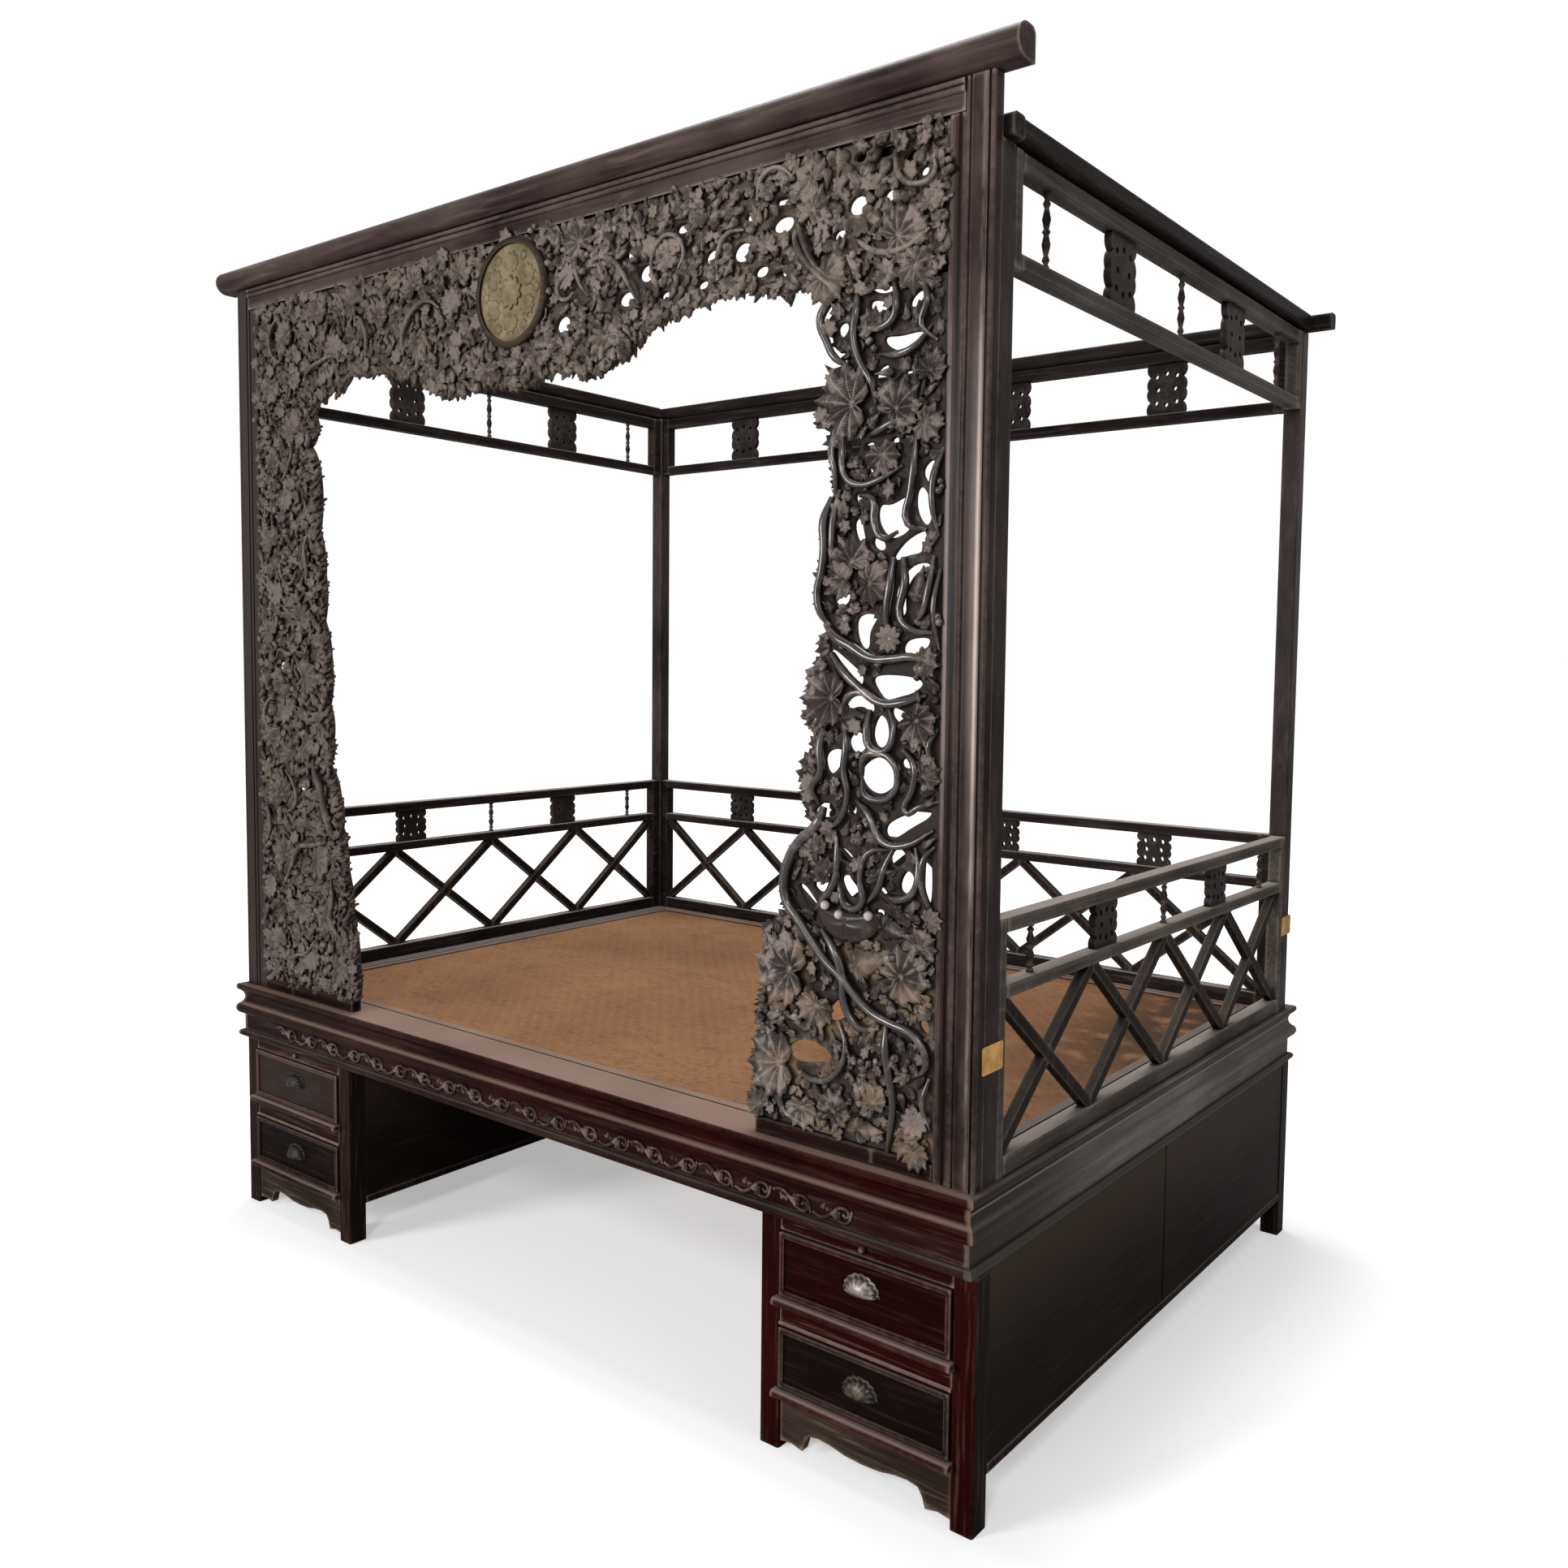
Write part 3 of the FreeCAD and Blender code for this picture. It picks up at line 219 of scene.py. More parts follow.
def wood_finish(name, deep, second, worn, along="z", rough=0.34, wear=0.6, shine=0.025, red=None,
                dust_and_top_light=(0.45, (0.12, 0.104, 0.094)), corner_shade=(0.003, 0.002, 0.0017),
                streak=(26, 1.2), streaks=0.22, edge=0.009, bands=(), middle=None):
    """Lacquered wood: long grain, cloudy tone, edges rubbed paler, corners darkened as painted shade,
    and dust on what faces up, which also paints the tops paler as if lit from above. The bands are
    lines across an axis: some are tone, and some are painted highlights and painted shade. The faint
    ones fade out above and below the middle, so that painted highlights are strongest there."""
    made, here = new_finish(name)
    stretch = [streak[1] if axis == along else streak[0] for axis in "xyz"]
    grain = here.node("Mapping", None, {"Vector": here, "Scale": stretch}).noise(
        5.0, 6.0, Roughness=0.62, Distortion=0.4)
    clouds = here.noise(4.5, 5.0)
    specks = here.noise(75.0, 4.0)
    rubbed = (here.edge(edge) * (0.5 + 1.0 * clouds) + (specks - 0.5) * 0.3).between(0.26, 0.62) * wear
    tone = (clouds * 0.75 + grain * 0.5 - 0.12).between(0.3, 0.75)
    colour = tone.mixed(deep, second)
    if red is not None:
        front = 1 - here.part("Y").between(-0.702, -0.699)
        fading = 0.25 + 0.75 * here.part("X").between(-0.95, 0.3)
        colour = (front * fading).mixed(colour, tone.mixed(*red))
    colour = (grain.between(0.52, 0.7) * streaks).mixed(colour, worn)
    colour = rubbed.mixed(colour, worn)
    # Bands of tone, painted highlight and painted shade; with a middle, the faint ones are strongest at
    # middle height.
    for axis, low, high, soft, share, shade in bands:
        place = here.part(axis)
        inside = place.between(low, low + soft) * (1 - place.between(high - soft, high))
        if middle is not None and share < 0.9:
            height = here.part("Z")
            inside = inside * (0.16 + 0.84 * height.between(middle[0], middle[1])
                               * (1 - height.between(middle[2], middle[3])) + (grain - 0.5) * 0.9)
        colour = (inside * share).mixed(colour, shade)
    # Dust and painted light: what faces up is painted paler, partly settled dust and partly as if lit from
    # above.
    facing_up = here.node("NewGeometry", output="Normal").part("Z").between(0.5, 0.95)
    dusty = facing_up * (0.45 + 0.8 * clouds) * dust_and_top_light[0]
    colour = dusty.mixed(colour, dust_and_top_light[1])
    # Painted shade: corners and grooves are painted nearly black, where shade falls.
    colour = (here.corner(0.014).between(0.2, 0.6) * 0.88).mixed(colour, corner_shade)
    gloss = rough + clouds * 0.16 + rubbed * 0.2 + dusty * 0.3 + (specks - 0.5) * 0.12
    close_finish(colour, gloss, (grain * 0.7 + specks * 0.25 - rubbed * 0.35).bump(0.55, 0.0006), shine)
    return made


def give(finish, *names):
    """Puts a finish on CAD nodes."""
    for name in names:
        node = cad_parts[name]
        if not node.data.materials:
            node.data.materials.append(finish)
        for index in range(len(node.data.materials)):
            node.data.materials[index] = finish
        for slot in node.material_slots:
            slot.material = finish


side_black = (0.0058, 0.0038, 0.0031)
side_brown = (0.0125, 0.0084, 0.007)
rubbed_brown = (0.125, 0.085, 0.062)
deep_red = (0.0085, 0.0006, 0.0005)
worn_red = (0.023, 0.0024, 0.0021)
pedestal_upright = wood_finish(
    "pedestal upright lacquer", side_black, side_brown, rubbed_brown, "z", red=(deep_red, worn_red),
    shine=0.015)
# The rails' faces that face up, the drawer ledges among them, are painted pale and pinkish: dust and a
# painted highlight.
pedestal_level = wood_finish(
    "pedestal rail lacquer", side_black, side_brown, (0.19, 0.125, 0.108), "x", red=(deep_red, worn_red),
    wear=0.95, shine=0.015, dust_and_top_light=(1.0, (0.21, 0.15, 0.132)))
apron_wood = wood_finish(
    "worn apron lacquer", (0.0105, 0.0068, 0.0055), (0.046, 0.031, 0.024), (0.15, 0.1, 0.076), "x",
    wear=1.0, shine=0.02, edge=0.013, streaks=0.35)
# The panels are painted paler towards their tops: a painted sheen.
pedestal_board = wood_finish(
    "pedestal board lacquer", (0.0048, 0.003, 0.0023), (0.0115, 0.0078, 0.006), (0.06, 0.045, 0.034), "y",
    rough=0.42, wear=0.3, shine=0.02, streaks=0.1,
    bands=(("Z", 0.2, 1.0, 0.25, 0.65, (0.048, 0.0345, 0.0255)),))
runner_wood = wood_finish(
    "bare runner wood", (0.19, 0.12, 0.07), (0.27, 0.18, 0.105), (0.34, 0.25, 0.17), "y", rough=0.7,
    shine=0.2)
for side in ("left", "right"):
    give(pedestal_upright, side + "_pedestal_legs")
    give(pedestal_level, side + "_pedestal_rails")
    give(pedestal_board, side + "_pedestal_panels")
give(apron_wood, "pedestal_aprons")
give(runner_wood, "drawer_runners")

# The drawers: bordered fronts in red lacquer over bare boxes. The upper pair is redder, and the
# lower pair has gone nearly black from knees and feet.
upper_front = wood_finish(
    "upper drawer lacquer", (0.012, 0.0095, 0.0082), (0.026, 0.0215, 0.0185), (0.15, 0.088, 0.08), "x",
    wear=0.9, shine=0.014, streaks=0.06, red=((0.0048, 0.0003, 0.0003), (0.015, 0.0014, 0.0012)))
lower_front = wood_finish(
    "lower drawer lacquer", (0.0025, 0.0011, 0.0008), (0.006, 0.0032, 0.0026), (0.12, 0.075, 0.066), "x",
    wear=0.9, shine=0.014, streaks=0.08)
box_wood = wood_finish(
    "bare drawer wood", (0.17, 0.1, 0.06), (0.25, 0.16, 0.095), (0.33, 0.24, 0.16), "y", rough=0.68,
    shine=0.2)
for side in ("left", "right"):
    give(upper_front, side + "_upper_drawer_front")
    give(lower_front, side + "_lower_drawer_front")
    give(box_wood, side + "_upper_drawer_box", side + "_lower_drawer_box")


# The cup pulls: thin cast shells of a grey metal, fluted like a fan and pinned through a narrow
# rim. Fingers go in from below. Handling keeps the ribs bright, and the grooves are darkened
# by grime and by painted shade.
def metal_finish(name, bright, dull, dark, rough, cloud_scale):
    made, here = new_finish(name)
    clouds = here.noise(cloud_scale, 5.0)
    specks = here.noise(cloud_scale * 6, 3.0)
    # Grime and painted shade: darker and less metallic in corners and grooves, and in random clouds.
    grime_and_shade = (here.corner(0.008) * 1.1 + (clouds - 0.5) * 0.7).between(0.1, 0.7)
    colour = grime_and_shade.mixed(clouds.between(0.35, 0.65).mixed(bright, dull), dark)
    close_finish(colour, rough + grime_and_shade * 0.3 + specks * 0.1, (clouds * 0.5 + specks * 0.5).bump(0.4, 0.0004),
                 metal=0.95 - grime_and_shade * 0.5)
    return made


def add_mesh(shape, mesh, place=None):
    """Adds a copy of a mesh to the piece that is being made."""
    copy = mesh.copy()
    if place is not None:
        copy.transform(place)
    shape.from_mesh(copy)
    bpy.data.meshes.remove(copy)


def settle(name, shape, finish, body):
    """Closes a piece: smooth faces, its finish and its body."""
    mesh = mesh_of(name, shape)
    mesh.materials.append(finish)
    mesh.polygons.foreach_set("use_smooth", [True] * len(mesh.polygons))
    piece = bpy.data.objects.new(name, mesh)
    scene.collection.objects.link(piece)
    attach(piece, body)
    return piece


bright_pull = metal_finish(
    "rubbed grey pull metal", (0.2, 0.172, 0.155), (0.085, 0.071, 0.062), (0.012, 0.0095, 0.008), 0.42,
    120)
dull_pull = metal_finish(
    "dull grey pull metal", (0.072, 0.06, 0.05), (0.028, 0.023, 0.0185), (0.007, 0.0055, 0.0045), 0.45,
    120)
sooty_pull = metal_finish(
    "sooty pull metal", (0.03, 0.026, 0.023), (0.014, 0.012, 0.0105), (0.006, 0.005, 0.0042), 0.55, 120)
flutes = 8
arch_steps = 28
rim_steps = 48
rim_thick = 0.0015
shell_thick = 0.002
pin_radius = 0.0021
for drawer, pull_finish in (("right_upper", bright_pull), ("right_lower", dull_pull),
                            ("left_upper", sooty_pull), ("left_lower", sooty_pull)):
    low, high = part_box(drawer + "_drawer_pull")
    middle = (low[0] + high[0]) / 2
    rim_width = (high[0] - low[0]) / 2
    rim_height = high[2] - low[2]
    cup_width = rim_width - 0.004
    cup_height = rim_height - 0.004
    cup_depth = high[1] - low[1] - rim_thick
    shell = bmesh.new()
    arch = []
    for step in range(arch_steps + 1):
        swing = math.pi * (step / arch_steps - 0.5)
        arch.append(shell.verts.new((math.sin(swing), 0, math.cos(swing))))
    ribs = [shell.edges.new(pair) for pair in zip(arch, arch[1:])]
    bmesh.ops.spin(shell, geom=arch + ribs, cent=(0, 0, 0), axis=(1, 0, 0), angle=math.pi / 2, steps=10)
    bmesh.ops.remove_doubles(shell, verts=shell.verts, dist=1e-4)
    for vert in shell.verts:
        x, y, z = vert.co
        swell = 1 + 0.085 * math.cos(2 * flutes * math.atan2(z, x)) * math.hypot(x, z) ** 2 - 0.085
        vert.co = Vector((x * swell * cup_width, -abs(y) * swell * cup_depth, z * swell * cup_height))
    bmesh.ops.recalc_face_normals(shell, faces=shell.faces)
    outward = sum((face.normal.dot(face.calc_center_median()) for face in shell.faces), 0.0)
    if outward < 0:
        bmesh.ops.reverse_faces(shell, faces=shell.faces)
    bmesh.ops.solidify(shell, geom=shell.faces[:], thickness=shell_thick)
    bmesh.ops.transform(
        shell, verts=shell.verts, matrix=Matrix.Translation((middle, high[1] - rim_thick, low[2])))
    rim = bmesh.new()
    border = []
    for step in range(rim_steps + 1):
        fan = math.pi * step / rim_steps
        scallop = 0.975 + 0.025 * math.cos(2 * flutes * fan)
        border.append(
            rim.verts.new((rim_width * scallop * math.cos(fan), 0, rim_height * scallop * math.sin(fan))))
    plate = bmesh.ops.contextual_create(rim, geom=border)["faces"]
    thick = bmesh.ops.extrude_face_region(rim, geom=plate)["geom"]
    bmesh.ops.translate(
        rim, verts=[item for item in thick if isinstance(item, bmesh.types.BMVert)], vec=(0, -rim_thick, 0))
    for side in (-1, 1):
        pin = bmesh.ops.create_uvsphere(rim, u_segments=10, v_segments=6, radius=pin_radius)["verts"]
        bmesh.ops.translate(rim, verts=pin, vec=(side * (rim_width - 0.0045), -0.0016, 0.0045))
    bmesh.ops.recalc_face_normals(rim, faces=rim.faces)
    bmesh.ops.transform(rim, verts=rim.verts, matrix=Matrix.Translation((middle, high[1], low[2])))
    add_mesh(shell, mesh_of(drawer + "_rim", rim))
    cup = settle(drawer + "_shell_pull", shell, pull_finish, drawer + "_drawer")
    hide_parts(drawer + "_drawer_pull")

# The bead moulding and the waist boards: four mitred lengths each, between the pedestals and the
# seat. The front waist board is carved with a running scroll.
waist_lacquer = wood_finish(
    "waist lacquer", side_black, side_brown, (0.13, 0.095, 0.085), "x", wear=0.8, shine=0.015,
    red=((0.0095, 0.0022, 0.0019), (0.023, 0.008, 0.007)),
    bands=(("X", 1.03, 1.1, 0.002, 0.85, (0.055, 0.048, 0.04)),))
end_pale = (0.074, 0.064, 0.057)
end_paler = (0.17, 0.15, 0.135)
# Painted light and shade on the seat's and waist's ends: darker towards the front and a little darker at the
# rear, leaving a paler sheen between.
end_painted_shading = (
    ("Y", -1.5, -0.15, 0.55, 0.88, (0.02, 0.015, 0.012)),
    ("Y", 0.35, 1.5, 0.3, 0.5, (0.06, 0.05, 0.041)))
waist_end = wood_finish(
    "waist end lacquer", end_pale, end_paler, (0.22, 0.192, 0.165), "y", rough=0.4, wear=0.6, streaks=0.08,
    bands=end_painted_shading)
give(waist_lacquer, "waist_front_board", "waist_bead")
give(waist_end, "waist_boards")


def mesh_of_curve(name, line):
    """The mesh that a curve makes. The curve goes."""
    drawn = bpy.data.objects.new(name, line)
    scene.collection.objects.link(drawn)
    bpy.context.view_layer.update()
    mesh = bpy.data.meshes.new_from_object(drawn)
    bpy.data.objects.remove(drawn)
    bpy.data.curves.remove(line)
    return mesh


def join_stems(name, runs, turns=2):
    """Round tapering stems, one smooth line for each run of (x, y, z, radius), as a mesh."""
    line = bpy.data.curves.new(name, "CURVE")
    line.dimensions = "3D"
    line.bevel_depth = 1.0
    line.bevel_resolution = turns
    line.resolution_u = 4
    line.use_fill_caps = True
    for run in runs:
        spline = line.splines.new("BEZIER")
        spline.bezier_points.add(len(run) - 1)
        for point, (x, y, z, radius) in zip(spline.bezier_points, run):
            point.co = (x, y, z)
            point.radius = radius
            point.handle_left_type = "AUTO"
            point.handle_right_type = "AUTO"
    return mesh_of_curve(name, line)


def carved_finish(name, dark, mid, pale, dust_from, dust_to, rough=0.42, shine=0.05, ground=None,
                  shade=0.7, coated=0.0, patch=None):
    """Carved wood: painted shade darkening the hollows, pale on the raised parts, partly from
    rubbing and partly as painted light, and dustier to one side. The ground is where the carving
    starts, and the work is painted paler the further it stands out and darker near the ground, as
    light and shade would fall. The stems may keep a coat, and bare patches show below a height."""
    made, here = new_finish(name)
    clouds = here.noise(16.0, 3.0)
    patches = here.noise(110.0, 2.0)
    specks = here.noise(260.0, 2.0)
    painted_hollow_shade = here.corner(0.02, 8)
    vein = here.node("UVMap", {"uv_map": "vein"})
    side = vein.part("X")
    out = vein.part("Y")
    leafy = out.between(0.02, 0.12)
    barbs = side.sum("SINE", (side * 9 - out * 78)) * leafy
    spine = (1 - side.between(0.04, 0.3)) * leafy
    valley = side.between(0.72, 1.0) * leafy
    dusty = 1 - here.part("X").between(dust_from, dust_to)
    # Part wear, part painted light and shade: paler on edges and leaf spines, darker in the valleys between
    # lobes and where the painted hollow shade falls.
    raised = (here.edge(0.004) * 0.8 + (here.noise(21.0, 4.0).between(0.36, 0.62) - 0.5) * 0.5
              + (patches - 0.5) * 0.9 + barbs * 0.07 + spine * 0.16 - valley * 0.22 - painted_hollow_shade * shade)
    gloss = rough + clouds * 0.15 + dusty * 0.12 + (specks - 0.5) * 0.1
    if ground is not None:
        depth = here.part("Y")
        # Painted light and shade: paler the further the work stands out from the ground, darker at the
        # ground.
        raised = raised + (1 - depth.between(ground - 0.014, ground - 0.001)) * 0.3 - 0.1
        stem = (1 - leafy) * (1 - depth.between(ground - 0.012, ground - 0.004))
        raised = raised - stem * coated * 0.55
        gloss = gloss + depth.between(ground - 0.007, ground - 0.001) * 0.5
    rubbed = raised.between(-0.1, 0.75)
    colour = (clouds * 0.9 + 0.05).mixed(dark, mid)
    colour = (rubbed * (pale[0] + dusty * (pale[1] - pale[0]))).mixed(colour, pale[2])
    if patch is not None:
        low_down = 1 - here.part("Z").between(patch[0], patch[0] + 0.2)
        bare = here.noise(13.0, 3.0).between(0.5, 0.6)
        colour = (low_down * bare * (1 - stem) * patch[1]).mixed(colour, patch[2])
    # Painted shade: the hollows go nearly black.
    colour = (painted_hollow_shade.between(0.35, 0.95) * shade).mixed(colour, tuple(part * 0.4 for part in dark))
    height = barbs * 0.25 + spine * 0.5 - valley * 0.6 + clouds * 0.4 + specks * 0.12
    surface = close_finish(colour, gloss, height.bump(0.8, 0.0012), shine)
    if coated > 0:
        sockets = surface.socket.node.inputs
        made.node_tree.links.new((stem * coated).socket, sockets["Coat Weight"])
        sockets["Coat Roughness"].default_value = 0.2
    return made


waist_carving = carved_finish(
    "waist carving lacquer", (0.012, 0.0052, 0.0047), (0.036, 0.02, 0.0175),
    (0.8, 0.8, (0.17, 0.118, 0.104)), dust_from=-0.9, dust_to=0.6)


def leaf_mesh(name, outline, axes, spokes, rings, teeth, bite, dome, lift, thick, veins=1.0):
    """A carved leaf, one unit long, pointing up and facing the front: a spun disc drawn out to
    its outline, pleated along the axes of its lobes, with a closed flat back."""
    shape = bmesh.new()
    uv = shape.loops.layers.uv.new("vein")
    row = [shape.verts.new((0, 0, step / rings)) for step in range(rings + 1)]
    edges = [shape.edges.new(pair) for pair in zip(row, row[1:])]
    bmesh.ops.spin(
        shape, geom=row + edges, cent=(0, 0, 0), axis=(0, 1, 0), angle=math.tau, steps=spokes,
        use_merge=True)
    bmesh.ops.remove_doubles(shape, verts=shape.verts, dist=1e-4)
    half_gap = (axes[1] - axes[0]) / 2

    def aside(share):
        """How far a place is from the nearest lobe's axis: 0 on it, 1 in the valley."""
        return min(min(abs(share - axis) for axis in axes) / half_gap, 1)

    for face in shape.faces:
        middle = face.calc_center_median()
        for loop in face.loops:
            x, y, z = loop.vert.co
            reach = math.hypot(x, z)
            spoke = middle if reach < 1e-4 else loop.vert.co
            loop[uv].uv = (aside(abs(math.atan2(spoke.x, spoke.z)) / math.pi), reach * veins)
    for vert in shape.verts:
        reach = math.hypot(vert.co.x, vert.co.z)
        if reach < 1e-4:
            vert.co.y = dome * 0.3
            continue
        angle = math.atan2(vert.co.x, vert.co.z)
        share = abs(angle) / math.pi
        radius = outline[-1][1]
        for (a, ra), (b, rb) in zip(outline, outline[1:]):
            if a <= share <= b:
                step = (share - a) / (b - a)
                radius = ra + (rb - ra) * step
                break
        tooth = abs((share * teeth) % 1.0 - 0.5) * 2
        radius *= 1 + bite * (tooth - 0.5) * reach ** 3
        pleat = 0.5 + 0.5 * math.cos(math.pi * aside(share))
        swell = (0.25 + pleat * 0.75) * min(reach * 2.2, 1.15 - reach * 0.5)
        vert.co.y = -dome * swell - lift * reach * reach
        vert.co.x = math.sin(angle) * radius * reach
        vert.co.z = math.cos(angle) * radius * reach
    rim = [edge for edge in shape.edges if edge.is_boundary]
    added = bmesh.ops.extrude_edge_only(shape, edges=rim)["geom"]
    back = [item for item in added if isinstance(item, bmesh.types.BMVert)]
    for vert in back:
        vert.co.y += thick
        vert.co.x *= 0.93
        vert.co.z *= 0.93
    edge_ring = [edge for edge in shape.edges if edge.is_boundary]
    bmesh.ops.contextual_create(shape, geom=edge_ring)
    bmesh.ops.recalc_face_normals(shape, faces=shape.faces)
    return mesh_of(name, shape)


def lay(shape, mesh, x, y, z, turn, size, narrow=1.0, tip=0.0, lean=0.0, thick=1.0):
    """Lays a leaf on the work, turned from upright towards the right, tipped and leaned."""
    place = (Matrix.Translation((x, y, z)) @ Matrix.Rotation(math.radians(turn), 4, "Y")
             @ Matrix.Rotation(math.radians(tip), 4, "X") @ Matrix.Rotation(math.radians(lean), 4, "Z")
             @ Matrix.Diagonal((size * narrow, size * thick, size, 1)))
    add_mesh(shape, mesh, place)


vine_outline = (
    (0.0, 1.0), (0.1, 0.72), (0.17, 0.6), (0.3, 0.9), (0.42, 0.62), (0.5, 0.55), (0.62, 0.74),
    (0.76, 0.5), (0.88, 0.42), (1.0, 0.16))
blade_outline = (
    (0.0, 1.0), (0.08, 0.62), (0.18, 0.4), (0.32, 0.34), (0.5, 0.3), (0.75, 0.26), (1.0, 0.22))
vine_axes = (0.0, 0.3, 0.62, 0.94)
blade_axes = (0.0, 0.5, 1.0)
small_vine = leaf_mesh(
    "small vine leaf", vine_outline, vine_axes, spokes=14, rings=2, teeth=7, bite=0, dome=0.16, lift=0.02,
    thick=0.22, veins=0.45)
small_blade = leaf_mesh(
    "small blade leaf", blade_outline, blade_axes, spokes=10, rings=2, teeth=5, bite=0, dome=0.14,
    lift=-0.1, thick=0.22, veins=0.45)
waist_shape = bmesh.new()
waist_shape.loops.layers.uv.new("vein")
waist_runs = []
waist_face = -0.7155
scroll_count = 20
scroll_pitch = 0.0853
scroll_middle = -0.035
scroll_height = 0.448
main_curl = (
    (-40, -9, 3.2), (-22, -13, 3.8), (-2, -2, 4.0), (16, 12, 3.8), (32, 9, 3.4), (30, -1, 3.2),
    (21, 2, 2.8))
side_curl = ((40, 12, 2.8), (30, -10, 3.2), (12, -11, 3.0))
for index in range(scroll_count):
    middle = scroll_middle + (index - (scroll_count - 1) / 2) * scroll_pitch
    flip = 1 if index % 2 else -1
    for curl in (main_curl, side_curl):
        waist_runs.append([
            (middle + right / 1000, waist_face, scroll_height + flip * up / 1000, wide / 1000)
            for right, up, wide in curl])
    lay(waist_shape, small_vine, middle + 0.006, waist_face - 0.001, scroll_height - flip * 0.004,
        90 - flip * 40, 0.016, 0.9)
    for right, up, turn in ((-0.022, 0.003, 30), (-0.012, 0.002, 75)):
        lay(waist_shape, small_blade, middle + right, waist_face, scroll_height + flip * up, flip * turn,
            0.013, 1.2)
add_mesh(waist_shape, join_stems("waist scroll lines", waist_runs, 1))
settle("waist_scroll_carving", waist_shape, waist_carving, "bed")

# The seat: four mitred rails with a moulded edge and a sunk line round the mat. The tops are
# rubbed dull and pale by people sitting and are painted paler still as if lit from above, and
# the red coat survives on the front edge.
# Wear and painted light: the seat tops are painted pale, partly rubbing, partly as if lit from above.
seat_top_wear_and_light = (0.95, (0.22, 0.15, 0.118))
seat_long = wood_finish(
    "seat rail lacquer", (0.0095, 0.0058, 0.0048), (0.022, 0.0135, 0.0115), (0.13, 0.083, 0.069), "x",
    wear=0.85, shine=0.014, red=((0.0052, 0.0005, 0.0004), (0.017, 0.0019, 0.0016)), dust_and_top_light=seat_top_wear_and_light,
    streaks=0.1)
seat_short = wood_finish(
    "seat end lacquer", end_pale, end_paler, (0.24, 0.21, 0.18), "y", rough=0.4, wear=0.7,
    dust_and_top_light=(1.0, (0.135, 0.11, 0.102)), streaks=0.08, bands=(*end_painted_shading,
    # A dark brown band on the top bead, a near-black painted shadow line under the top edge, and a thin pale
    # line below that.
    ("Z", 0.5265, 0.5385, 0.003, 0.8, (0.03, 0.0225, 0.018)),
    ("Z", 0.515, 0.5265, 0.003, 0.95, (0.004, 0.003, 0.0025)),
    ("Z", 0.5085, 0.5145, 0.002, 0.6, (0.26, 0.225, 0.195))))
give(seat_long, "seat_rail_front", "seat_rail_back")
give(seat_short, "seat_rail_left", "seat_rail_right")
give(runner_wood, "mat_battens")


# The mat: fine split cane woven in a twill and bound into the seat's rebate over three battens.
# It is tan where it is clean and browner where people lie, and it has no gloss. Painted shade
# darkens the gaps between the strands and the mat's right rear.
def cane_finish(name, light, tan, stain_and_shade, pitch):
    made, here = new_finish(name)
    wobble = here.noise(9.0, 2.0)
    across_x = here.part("X") * (1 / pitch) + wobble * 1.2
    across_y = here.part("Y") * (1 / pitch) + wobble * 0.9
    strand_x = across_x.sum("PINGPONG", across_x, 0.5)
    strand_y = across_y.sum("PINGPONG", across_y, 0.5)
    step = across_x.sum("FLOOR", across_x) + across_y.sum("FLOOR", across_y)
    twill = step.sum("FLOORED_MODULO", step, 4.0).between(1.4, 1.6)
    over = strand_x * twill + strand_y * (1 - twill)
    clouds = here.noise(2.2, 6.0, Roughness=0.6)
    streaks = here.node("Mapping", None, {"Vector": here, "Scale": (3, 60, 1)}).noise(4.0, 4.0)
    colour = clouds.between(0.3, 0.7).mixed(tan, light)
    colour = (streaks.between(0.45, 0.75) * 0.45).mixed(colour, stain_and_shade)
    # Painted shade: the colour darkens where each strand dips under the next.
    colour = ((1 - over.between(0.0, 0.22)) * 0.55).mixed(colour, stain_and_shade)
    colour = (twill * 0.12).mixed(colour, light)
    blots = here.noise(13.0, 4.0)
    flecks = (here.noise(60.0, 3.0) * 0.6 + blots * 0.4).between(0.5, 0.62)
    colour = (flecks * 0.35).mixed(colour, stain_and_shade)
    # Painted shade: the mat's right rear is darkened in blotches, as if in shade.
    rear_shade = here.part("X").between(0.56, 0.86) * here.part("Y").between(-0.5, 0.3) * 0.9
    colour = (rear_shade * blots.between(0.28, 0.52)).mixed(colour, tuple(part * 0.5 for part in stain_and_shade))
    close_finish(colour, 0.72 + clouds * 0.15, (over * 1.6 + twill * 0.4).bump(0.7, 0.0012), 0.1)
    return made


strand_pitch = 0.0085
cane = cane_finish(
    "woven cane", (0.25, 0.124, 0.058), (0.165, 0.074, 0.032), (0.062, 0.032, 0.016), strand_pitch)
give(cane, "cane_mat")

# The corner posts: four square posts standing on the seat's corners, with softened edges and a
# thin dark purple-brown lacquer that is worn grey where hands hold them.
post_lacquer = wood_finish(
    "post lacquer", (0.0125, 0.0085, 0.0076), (0.04, 0.03, 0.0272), (0.2, 0.16, 0.143), "z", rough=0.34,
    wear=0.9, shine=0.04, streak=(8, 2.2), streaks=0.06)
give(post_lacquer, "corner_post_front_left", "corner_post_front_right", "corner_post_rear_left",
     "corner_post_rear_right")

